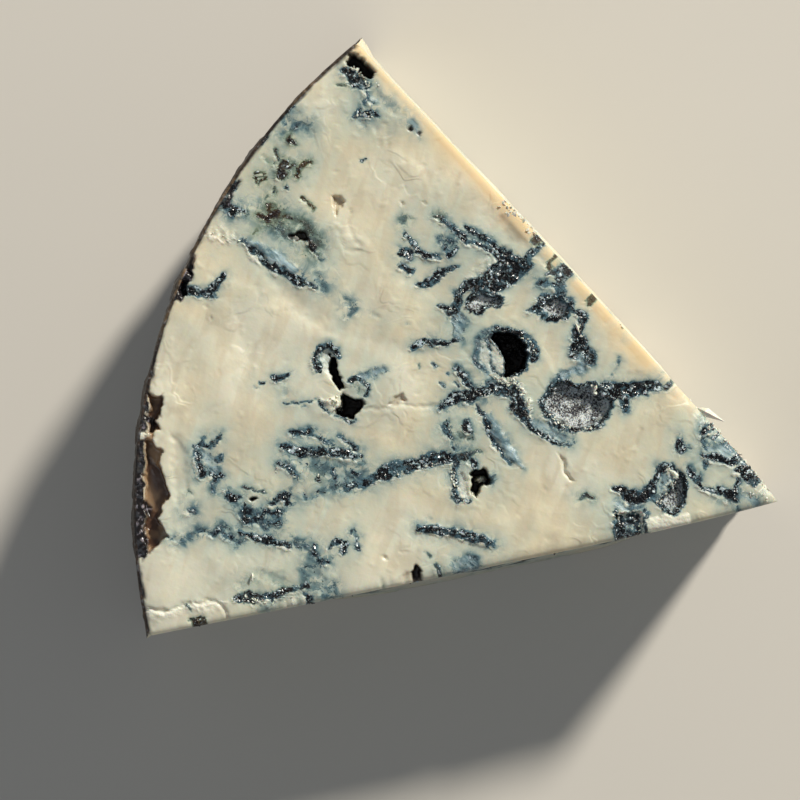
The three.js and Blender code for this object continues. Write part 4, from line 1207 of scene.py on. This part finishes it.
# All crumbs and flakes. A crumb lies at a random point of the upper part whose distance to its line is less
# than half the line's width.
def makeCrumbs(points):
    source = np.random.default_rng(crumbChoices["seed"])
    upper = points[points[:, 2] > crumbChoices["from"]]
    pixels = toPhoto(upper)
    middles, sizes = [], []
    for path, wide, count, size in crumbPlaces:
        edge = lineDistance(pixels, path, wide)
        near = np.flatnonzero(edge < 0)
        count = int(crumbChoices["share"] * count)
        chosen = source.choice(near, count)
        grown = size * source.uniform(0.4, 1.6, (count, 1)) ** 1.5
        middles.append(upper[chosen] + source.uniform(-0.2, 0.2, (count, 3)) * (1, 1, 0.3) - (0, 0, 0.04))
        sizes.append(grown * source.uniform(0.6, 1.6, (count, 3)) * (1, 0.8, 0.35))
    spots, faces = makeLumps(source, np.vstack(middles), np.vstack(sizes))
    # A flake is a flat four-sided blade, thick in the middle and drawn out to its far end.
    for start, end, wide, rise in flakes:
        (x1, y1), (x2, y2) = fromPhoto([start, end])
        at = np.argmin(np.hypot(upper[:, 0] - x1, upper[:, 1] - y1))
        along = np.array([x2 - x1, y2 - y1])
        side = np.array([-along[1], along[0]]) / np.linalg.norm(along) * wide * photo["scale"] / 2
        z = upper[at, 2] + rise
        foot, middle = np.array([x1, y1]), np.array([x1, y1]) + 0.3 * along
        blade = [(*foot, z - 0.5), (*(foot + 0.35 * along + side), z), (x2, y2, z + 0.15),
                 (*(foot + 0.4 * along - side), z - 0.1), (*middle, z + 0.35), (*middle, z - 0.45)]
        first = len(spots)
        ring = [(0, 3), (3, 2), (2, 1), (1, 0)]
        faces = np.vstack([faces, [(first + a, first + b, first + 4) for a, b in ring],
                           [(first + b, first + a, first + 5) for a, b in ring]])
        spots = np.vstack([spots, blade])
    return spots, faces


# A node with its values set, in the tree of a material or a group. What is named in_ is an input.
def addNode(tree, kind, **values):
    node = tree.nodes.new(kind)
    for name, value in values.items():
        if name.startswith("in_"):
            key = name[3:]
            socket = node.inputs[int(key)] if key.isdigit() else node.inputs[key]
            if isinstance(value, bpy.types.NodeSocket):
                tree.links.new(value, socket)
            else:
                socket.default_value = value
        else:
            setattr(node, name, value)
    return node


# Arithmetic on up to three values.
def number(tree, operation, a, b=0.0, c=0.0, clamp=False):
    node = addNode(tree, "ShaderNodeMath", operation=operation, use_clamp=clamp, in_0=a, in_1=b, in_2=c)
    return node.outputs[0]


# One value times another.
def times(tree, a, b, clamp=False):
    return number(tree, "MULTIPLY", a, b, clamp=clamp)


# a times b, plus c.
def timesPlus(tree, a, b, c, clamp=False):
    return number(tree, "MULTIPLY_ADD", a, b, c, clamp)


# A smooth step of a value, from toLow at low to toHigh at high.
def between(tree, value, low, high, toLow=0.0, toHigh=1.0):
    node = addNode(tree, "ShaderNodeMapRange", interpolation_type="SMOOTHSTEP", in_0=value, in_1=low,
                   in_2=high, in_3=toLow, in_4=toHigh)
    return node.outputs[0]


# A value between a and b, by share.
def mixValue(tree, share, a, b):
    return addNode(tree, "ShaderNodeMix", in_0=share, in_2=a, in_3=b).outputs[0]


# A colour between a and b, by share.
def mixColour(tree, share, a, b):
    node = addNode(tree, "ShaderNodeMix", data_type="RGBA", clamp_factor=True, in_0=share, in_6=a, in_7=b)
    return node.outputs[2]


# A colour ramp over places, each a position and a colour.
def rampColour(tree, share, places):
    node = addNode(tree, "ShaderNodeValToRGB", in_Fac=share)
    stops = node.color_ramp.elements
    stops[0].position, stops[0].color = places[0]
    stops[1].position, stops[1].color = places[-1]
    for position, colour in places[1:-1]:
        stops.new(position).color = colour
    return node.outputs["Color"]


# A texture whose marks measure about size millimetres.
def texture(tree, coords, size, detail=0.0, kind="ShaderNodeTexNoise", **values):
    return addNode(tree, kind, in_Vector=coords, in_Scale=1000.0 / size, in_Detail=detail, **values)


# Noise from 0 to 1.
def cloudy(tree, coords, size, detail=2.0, distortion=0.0):
    return texture(tree, coords, size, detail, in_Distortion=distortion).outputs["Fac"]


# One of the mesh's own fields.
def readField(tree, name):
    return addNode(tree, "ShaderNodeAttribute", attribute_name=name, attribute_type="GEOMETRY").outputs["Fac"]


mouldLook = {
    "pale": rgb(0.51, 0.60, 0.54),
    "mid": rgb(0.150, 0.250, 0.268),
    "slate": rgb(0.034, 0.064, 0.084),
    "navy": rgb(0.005, 0.009, 0.015),
    "blue": rgb(0.095, 0.180, 0.225),
    "black": rgb(0.003, 0.003, 0.004),
    # painted highlight: the glint of the key light on wet granules of mould
    "frost": rgb(0.60, 0.70, 0.74),
    "paleOlive": rgb(0.50, 0.58, 0.45),
    "teal": rgb(0.20, 0.275, 0.20),
    "olive": rgb(0.085, 0.066, 0.032),
    "brown": rgb(0.026, 0.013, 0.008),
}


# Where the colours lie as the mould gets stronger, and as a crumb gets paler.
mouldStops = {
    "blues": [(0.0, "pale"), (0.28, "mid"), (0.46, "slate"), (0.62, "navy"), (0.85, "black")],
    "greens": [(0.0, "paleOlive"), (0.28, "teal"), (0.55, "olive"), (0.9, "brown")],
    "crumbs": [(0.70, "slate"), (0.80, "mid"), (0.98, "frost")],
}


# Mould, for the veins and for the loose grains: from a pale blue stain to black, with pale crumbs whose
# palest tones are painted glints.
def mouldGroup():
    group = bpy.data.node_groups.new("mould", "ShaderNodeTree")
    for name, kind in (("Vector", "Vector"), ("Strength", "Float"), ("Olive", "Float"), ("Frost", "Float")):
        group.interface.new_socket(name, in_out="INPUT", socket_type="NodeSocket" + kind)
    for name, kind in (("Color", "Color"), ("Cover", "Float"), ("Roughness", "Float"), ("Height", "Float")):
        group.interface.new_socket(name, in_out="OUTPUT", socket_type="NodeSocket" + kind)
    inside = group.nodes.new("NodeGroupInput").outputs
    outside = group.nodes.new("NodeGroupOutput").inputs
    place, strength = inside["Vector"], inside["Strength"]
    cloud = cloudy(group, place, 3.2, 3.0, 0.8)
    clump = cloudy(group, place, 1.3, 3.0, 0.5)
    wobble = texture(group, place, 0.7, 1.0).outputs["Color"]
    moved = addNode(group, "ShaderNodeVectorMath", operation="MULTIPLY_ADD", in_0=wobble, in_1=(0.0007,) * 3,
                    in_2=place).outputs[0]
    coarse = texture(group, moved, 0.62, 0.0, "ShaderNodeTexVoronoi")
    small = texture(group, moved, 0.34, 0.0, "ShaderNodeTexVoronoi")
    toneOf = [addNode(group, "ShaderNodeSeparateColor", in_0=cell.outputs["Color"]).outputs[0]
              for cell in (coarse, small)]
    crumbTone = timesPlus(group, toneOf[0], 0.55, times(group, toneOf[1], 0.45))
    # Strength is multiplied by noise, so a weak stain stays weak while a strong one breaks up into clumps.
    lumps = between(group, clump, 0.38, 0.62, 0.0, 0.5)
    breakUp = number(group, "ADD", between(group, cloud, 0.38, 0.62, 0.42, 0.95), lumps)
    thread = number(group, "ABSOLUTE", number(group, "SUBTRACT", clump, 0.47))
    threads = between(group, thread, 0.0, 0.035, 0.45, 0.0)
    power = times(group, strength, number(group, "ADD", breakUp, threads))
    speck = cloudy(group, place, 0.9)
    specks = times(group, between(group, speck, 0.65, 0.71, 0.0, 0.6), between(group, strength, 0.20, 0.36))
    power = number(group, "ADD", power, specks)
    blues = rampColour(group, power, [(at, mouldLook[name]) for at, name in mouldStops["blues"]])
    greens = rampColour(group, power, [(at, mouldLook[name]) for at, name in mouldStops["greens"]])
    colour = mixColour(group, inside["Olive"], blues, greens)
    bloom = cloudy(group, place, 2.1, 3.0, 1.0)
    bluish = times(group, between(group, bloom, 0.51, 0.61, 0.0, 0.85), between(group, power, 0.3, 0.5))
    bluish = times(group, bluish, between(group, power, 1.25, 0.8))
    notOlive = number(group, "SUBTRACT", 1.0, inside["Olive"], clamp=True)
    bluish = times(group, bluish, notOlive)
    colour = mixColour(group, bluish, colour, mouldLook["blue"])
    # Crumbs: cells of two sizes, each with a tone of its own, and in patches; they are partly pale mould and
    # partly painted glints, the palest of them a painted highlight.
    tone = timesPlus(group, between(group, clump, 0.35, 0.65, -0.2, 0.2), 1.0, crumbTone)
    tone = timesPlus(group, inside["Frost"], 0.3, tone)
    crumb = rampColour(group, tone, [(at, mouldLook[name]) for at, name in mouldStops["crumbs"]])
    shown = times(group, between(group, tone, 0.74, 0.82), between(group, power, 0.36, 0.62, 0.0, 0.95))
    shown = times(group, shown, between(group, bloom, 0.57, 0.44, 0.0, 1.0))
    shown = times(group, shown, notOlive)
    colour = mixColour(group, shown, colour, crumb)
    group.links.new(colour, outside["Color"])
    group.links.new(timesPlus(group, power, 3.0, -0.02, clamp=True), outside["Cover"])
    group.links.new(between(group, power, 0.2, 0.7, 0.42, 0.20), outside["Roughness"])
    rise = timesPlus(group, coarse.outputs["Distance"], -0.9, times(group, crumbTone, 1.6))
    group.links.new(times(group, rise, between(group, power, 0.3, 0.6)), outside["Height"])
    return group


# A material with its shader joined to its output, and the object's own coordinates.
def newMaterial(name):
    material = bpy.data.materials.new(name)
    material.use_nodes = True
    tree = material.node_tree
    tree.nodes.clear()
    shader = addNode(tree, "ShaderNodeBsdfPrincipled")
    output = addNode(tree, "ShaderNodeOutputMaterial")
    tree.links.new(shader.outputs["BSDF"], output.inputs["Surface"])
    coords = addNode(tree, "ShaderNodeTexCoord").outputs["Object"]
    return material, tree, shader, coords


pasteLook = {
    "cream": rgb(0.74, 0.675, 0.495),
    "pale": rgb(0.76, 0.735, 0.595),
    "cool": rgb(0.52, 0.57, 0.48),
    "tan": rgb(0.58, 0.50, 0.36),
    # painted glow: the key light shining through the thin paste by the right-hand cut
    "paintedGlow": rgb(0.60, 0.465, 0.265),
    "paleTornAndLit": rgb(0.93, 0.90, 0.77),
    "amber": rgb(0.36, 0.235, 0.135),
    "deepAmber": rgb(0.085, 0.042, 0.024),
    "crust": rgb(0.010, 0.008, 0.009),
    "crustDustAndSheen": rgb(0.24, 0.22, 0.25),
    "blueSmear": rgb(0.42, 0.545, 0.575),
    "furDeep": rgb(0.022, 0.022, 0.030),
    "furTip": rgb(0.66, 0.70, 0.70),
    "hole": rgb(0.006, 0.003, 0.003),
    "holeMottle": rgb(0.04, 0.028, 0.022),
    "roughness": 0.40,
    "furRoughness": 0.9,
    "paleTornAndLitRoughness": 0.6,
    "paintedGlowRoughness": 0.75,
    "crustRoughness": 0.28,
}


# The paste: each colour laid over the last by a field or a noise, from cream to the black of a hole.
def pasteMaterial(mould):
    material, tree, shader, coords = newMaterial("cheesePaste")
    large = cloudy(tree, coords, 24, 2.0, 0.6)
    medium = cloudy(tree, coords, 7, 3.0, 0.4)
    fine = cloudy(tree, coords, 0.9)
    colour = mixColour(tree, between(tree, large, 0.42, 0.60), pasteLook["cream"], pasteLook["pale"])
    uneven = between(tree, medium, 0.35, 0.65, -0.22, 0.22)
    nearVeins = number(tree, "ADD", readField(tree, "cool"), uneven, clamp=True)
    colour = mixColour(tree, nearVeins, colour, pasteLook["cool"])
    drawnOut = addNode(tree, "ShaderNodeMapping", in_Vector=coords, in_Rotation=(0, 0, 0.9),
                       in_Scale=(1, 0.3, 1))
    streak = cloudy(tree, drawnOut.outputs[0], 2.6, 2.0, 0.5)
    colour = mixColour(tree, between(tree, streak, 0.42, 0.64, 0.0, 0.4), colour, pasteLook["tan"])
    # Painted glow of the key light through the thin paste by the right-hand cut; it is rougher, so its
    # highlight is weak.
    paintedGlow = readField(tree, "paintedGlow")
    colour = mixColour(tree, times(tree, paintedGlow, 0.92), colour, pasteLook["paintedGlow"])
    # Torn pale paste, and painted light: the lit shelves of eyes and the lit fringes of veins.
    paleTornAndLit = readField(tree, "paleTornAndLit")
    colour = mixColour(tree, times(tree, paleTornAndLit, 0.7), colour, pasteLook["paleTornAndLit"])
    amber = mixColour(tree, between(tree, medium, 0.45, 0.58), pasteLook["amber"], pasteLook["deepAmber"])
    colour = mixColour(tree, readField(tree, "amber"), colour, amber)
    # Frost lifts the veins' crumbs towards the painted highlight.
    veins = addNode(tree, "ShaderNodeGroup", node_tree=mould, in_Vector=coords,
                    in_Strength=readField(tree, "mould"), in_Olive=readField(tree, "olive"), in_Frost=0.4)
    cover = veins.outputs["Cover"]
    colour = mixColour(tree, cover, colour, veins.outputs["Color"])
    along = addNode(tree, "ShaderNodeMapping", vector_type="TEXTURE", in_Vector=coords,
                    in_Rotation=(0, 0, -0.45), in_Scale=(5, 1, 1)).outputs[0]
    wisps = cloudy(tree, along, 1.0, 2.0, 0.4)
    smear = mixColour(tree, between(tree, wisps, 0.40, 0.60), mouldLook["blue"], pasteLook["blueSmear"])
    thinned = between(tree, wisps, 0.30, 0.50, 0.45, 1.15)
    smeared = times(tree, readField(tree, "blue"), thinned, clamp=True)
    colour = mixColour(tree, smeared, colour, smear)
    speck = cloudy(tree, coords, 0.55)
    specks = times(tree, between(tree, speck, 0.56, 0.62), times(tree, paleTornAndLit, cover))
    colour = mixColour(tree, specks, colour, mouldLook["navy"])
    fur = readField(tree, "fur")
    felt = cloudy(tree, coords, 0.30)
    tuft = cloudy(tree, coords, 2.4)
    furTone = timesPlus(tree, tuft, 0.7, times(tree, felt, 0.8))
    furColour = mixColour(tree, between(tree, furTone, 0.60, 0.90), pasteLook["furDeep"], pasteLook["furTip"])
    colour = mixColour(tree, fur, colour, furColour)
    # The crust's light mottle is partly dust and partly a painted sheen of its glossy highlights.
    crust = readField(tree, "crust")
    crustColour = mixColour(tree, between(tree, fine, 0.54, 0.70), pasteLook["crust"], pasteLook["crustDustAndSheen"])
    colour = mixColour(tree, crust, colour, crustColour)
    # Painted shade: a hole's near-black is partly its mould lining and partly shade painted where the hole
    # lies in shadow.
    dark = readField(tree, "dark")
    darkColour = mixColour(tree, between(tree, fine, 0.4, 0.7), pasteLook["hole"], pasteLook["holeMottle"])
    colour = mixColour(tree, dark, colour, darkColour)
    tree.links.new(colour, shader.inputs["Base Color"])

    rough = between(tree, fine, 0.35, 0.65, pasteLook["roughness"] - 0.07, pasteLook["roughness"] + 0.10)
    rough = mixValue(tree, cover, rough, veins.outputs["Roughness"])
    rough = mixValue(tree, fur, rough, pasteLook["furRoughness"])
    rough = mixValue(tree, paleTornAndLit, rough, pasteLook["paleTornAndLitRoughness"])
    rough = mixValue(tree, paintedGlow, rough, pasteLook["paintedGlowRoughness"])
    glossy = number(tree, "MAXIMUM", crust, readField(tree, "amber"))
    rough = mixValue(tree, glossy, rough, pasteLook["crustRoughness"])
    tree.links.new(rough, shader.inputs["Roughness"])

    # Where the knife tore it the paste lies in thin layers, whose edges are crisp for a short way.
    layer = cloudy(tree, coords, 6, 2.0, 0.3)
    layers = number(tree, "ADD", between(tree, layer, 0.43, 0.50), between(tree, layer, 0.53, 0.60))
    tornHere = between(tree, cloudy(tree, coords, 11), 0.48, 0.60)
    layers = times(tree, layers, tornHere)
    crumbly = timesPlus(tree, paleTornAndLit, 1.2, 0.18)
    high = timesPlus(tree, fine, crumbly, times(tree, medium, 0.45))
    high = timesPlus(tree, layers, 0.35, high)
    high = timesPlus(tree, veins.outputs["Height"], 1.1, high)
    high = timesPlus(tree, times(tree, fur, felt), 1.8, high)
    bump = addNode(tree, "ShaderNodeBump", in_Strength=0.6, in_Distance=0.00035, in_Height=high)
    tree.links.new(bump.outputs["Normal"], shader.inputs["Normal"])
    shader.inputs["Subsurface Weight"].default_value = 0.35
    shader.inputs["Subsurface Radius"].default_value = (1.0, 0.62, 0.34)
    shader.inputs["Subsurface Scale"].default_value = 0.0035
    return material


rindLook = {
    "dark": rgb(0.012, 0.009, 0.009),
    "brown": rgb(0.060, 0.034, 0.021),
    "bloom": rgb(0.25, 0.27, 0.29),
    "straw": rgb(0.25, 0.17, 0.09),
}


# The rind: dark and brown by one noise, with straw and dust over it by two more.
def rindMaterial():
    material, tree, shader, coords = newMaterial("naturalRind")
    large = cloudy(tree, coords, 14, 4.0)
    medium = cloudy(tree, coords, 3.5, 5.0)
    fine = cloudy(tree, coords, 0.8, 4.0)
    colour = mixColour(tree, between(tree, medium, 0.38, 0.66), rindLook["dark"], rindLook["brown"])
    colour = mixColour(tree, times(tree, between(tree, large, 0.5, 0.72), 0.5), colour, rindLook["straw"])
    dust = timesPlus(tree, fine, 0.5, times(tree, medium, 0.6))
    dusted = times(tree, between(tree, dust, 0.57, 0.72), 0.6)
    colour = mixColour(tree, dusted, colour, rindLook["bloom"])
    tree.links.new(colour, shader.inputs["Base Color"])
    tree.links.new(between(tree, medium, 0.3, 0.7, 0.36, 0.75), shader.inputs["Roughness"])
    high = timesPlus(tree, medium, 1.2, times(tree, fine, 0.7))
    bump = addNode(tree, "ShaderNodeBump", in_Strength=0.7, in_Distance=0.0006, in_Height=high)
    tree.links.new(bump.outputs["Normal"], shader.inputs["Normal"])
    return material


# A grain of mould: the darker its tone, the stronger the mould, and the palest are painted with a highlight
# colour.
def grainMaterial(mould):
    material, tree, shader, coords = newMaterial("mouldGrain")
    tone = readField(tree, "tone")
    strength = timesPlus(tree, tone, -0.4, 1.3)
    look = addNode(tree, "ShaderNodeGroup", node_tree=mould, in_Vector=coords, in_Strength=strength,
                   in_Olive=0.0, in_Frost=0.0)
    colour = mixColour(tree, between(tree, tone, 0.78, 1.0), look.outputs["Color"], mouldLook["frost"])
    tree.links.new(colour, shader.inputs["Base Color"])
    shader.inputs["Roughness"].default_value = 0.5
    return material


# A crumb of paste, light or grey by patches.
def crumbMaterial():
    material, tree, shader, coords = newMaterial("pasteCrumb")
    patch = cloudy(tree, coords, 1.1)
    light, grey = crumbChoices["lightColour"], crumbChoices["greyColour"]
    colour = mixColour(tree, between(tree, patch, 0.40, 0.56), light, grey)
    tree.links.new(colour, shader.inputs["Base Color"])
    shader.inputs["Roughness"].default_value = crumbChoices["roughness"]
    shader.inputs["Subsurface Weight"].default_value = 0.2
    shader.inputs["Subsurface Scale"].default_value = 0.001
    return material


print("shaping the wedge")
points, faces, isRind, fields = makeWedge()
print("  points", len(points), "faces", len(faces))

# Painted glow: a warm colour, strongest at the right-hand cut in a ragged strip, that stands in for the key
# light shining through the paste where it is thin.
beyondRight = -(points[:, :2] - wedge["cutsMeet"]) @ outOfRightCut
fromPoint = np.linalg.norm(points[:, :2] - wedge["cutsMeet"], axis=1)
stripWide = 1.3 + 0.7 * noise(points, 16, 31)
inStrip = np.exp(-((np.maximum(beyondRight - 0.7, 0) / stripWide) ** 1.4))
fields["paintedGlow"] = inStrip * fade(25, 32, points[:, 2]) * fade(16, 34, fromPoint)

mould = mouldGroup()
body = makeObject("wedgeBody", points, faces, fields, [pasteMaterial(mould), rindMaterial()], isRind)
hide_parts("cheese_wedge")

print("strewing the crumbs of paste")
crumbPoints, crumbFaces = makeCrumbs(points)
crumbs = makeObject("pasteCrumbs", crumbPoints, crumbFaces, {}, [crumbMaterial()], smooth=False)

print("strewing the mould grains")
grainPoints, grainFaces, grainFields = makeGrains(points, faces, fields)
grains = makeObject("mouldGrains", grainPoints, grainFaces, grainFields, [grainMaterial(mould)])
print("  grains", len(grainFaces) // 20)

for piece in (body, grains, crumbs):
    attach(piece, "root")


# Light, floor and camera. The key light comes from the photograph's upper right.
stage = {
    "floorSize": 3.0,
    "floorColour": rgb(0.62, 0.59, 0.54),
    "floorShade": rgb(0.66, 0.63, 0.58),
    "floorRoughness": 0.85,
    "keyFrom": (0.60, 0.80),  # right and up in the photograph
    "keyRise": 31.0,
    "keyDistance": 2.6,
    "keySize": 0.28,
    "keyPower": 96.0,
    "keyColour": (1.0, 0.945, 0.84),
    "fillPlace": (-0.5, -0.7, 1.0),
    "fillSize": 0.9,
    "fillPower": 2.0,
    "fillColour": (0.86, 0.93, 1.0),
    "skyColour": rgb(0.90, 0.95, 1.0),
    "skyStrength": 0.16,
    "imageWide": 800.0,  # the photograph's own size and middle, in pixels
    "middle": (400.0, 400.0),
}


# A pale floor under the wedge.
def makeStage():
    half = stage["floorSize"] / 2
    mesh = bpy.data.meshes.new("floor")
    corners = [(-half, -half, 0), (half, -half, 0), (half, half, 0), (-half, half, 0)]
    mesh.from_pydata(corners, [], [(0, 1, 2, 3)])
    floor = placeInScene("floor", mesh)
    material, tree, shader, coords = newMaterial("paleFloor")
    soft = cloudy(tree, coords, 60)
    shade = between(tree, soft, 0.3, 0.7, 0.0, 0.15)
    colour = mixColour(tree, shade, stage["floorColour"], stage["floorShade"])
    tree.links.new(colour, shader.inputs["Base Color"])
    shader.inputs["Roughness"].default_value = stage["floorRoughness"]
    mesh.materials.append(material)


# A round lamp that looks at its target.
def addArea(name, place, target, size, power, colour):
    light = bpy.data.lights.new(name, "AREA")
    light.shape = "DISK"
    light.size = size
    light.energy = power
    light.color = colour
    lamp = placeInScene(name, light)
    lamp.location = place
    lamp.rotation_euler = (Vector(target) - Vector(place)).to_track_quat("-Z", "Y").to_euler()


# The key light at its direction in the photograph turned into the frame's, a faint fill, and the sky.
def makeLights():
    turn = np.radians(photo["turn"])
    right, up = stage["keyFrom"]
    way = np.array([np.cos(turn) * right - np.sin(turn) * up, np.sin(turn) * right + np.cos(turn) * up])
    way /= np.linalg.norm(way)
    rise = np.radians(stage["keyRise"])
    place = stage["keyDistance"] * np.array([way[0] * np.cos(rise), way[1] * np.cos(rise), np.sin(rise)])
    addArea("key", place, (0, 0, 0.03), stage["keySize"], stage["keyPower"], stage["keyColour"])
    addArea("fill", stage["fillPlace"], (0, 0, 0.02), stage["fillSize"], stage["fillPower"],
            stage["fillColour"])
    world = bpy.context.scene.world or bpy.data.worlds.new("sky")
    bpy.context.scene.world = world
    world.use_nodes = True
    sky = world.node_tree.nodes["Background"]
    sky.inputs["Color"].default_value = stage["skyColour"]
    sky.inputs["Strength"].default_value = stage["skyStrength"]


# Straight above the photograph's middle pixel, turned so that the wedge lies as it does there.
def makeCamera():
    data = bpy.data.cameras.new("camera")
    data.sensor_width = 36.0
    data.lens = photo["distance"] / photo["scale"] * data.sensor_width / stage["imageWide"]
    camera = placeInScene("camera", data)
    x, y = fromPhoto([stage["middle"]])[0]
    camera.location = (x * mm, y * mm, (wedge["thickness"] + photo["distance"]) * mm)
    camera.rotation_euler = (0, 0, np.radians(photo["turn"]))
    data.clip_start = 0.01
    bpy.context.scene.camera = camera


print("setting the stage")
makeStage()
makeLights()
makeCamera()
bpy.context.scene.view_settings.view_transform = "Standard"
bpy.context.scene.view_settings.look = "None"
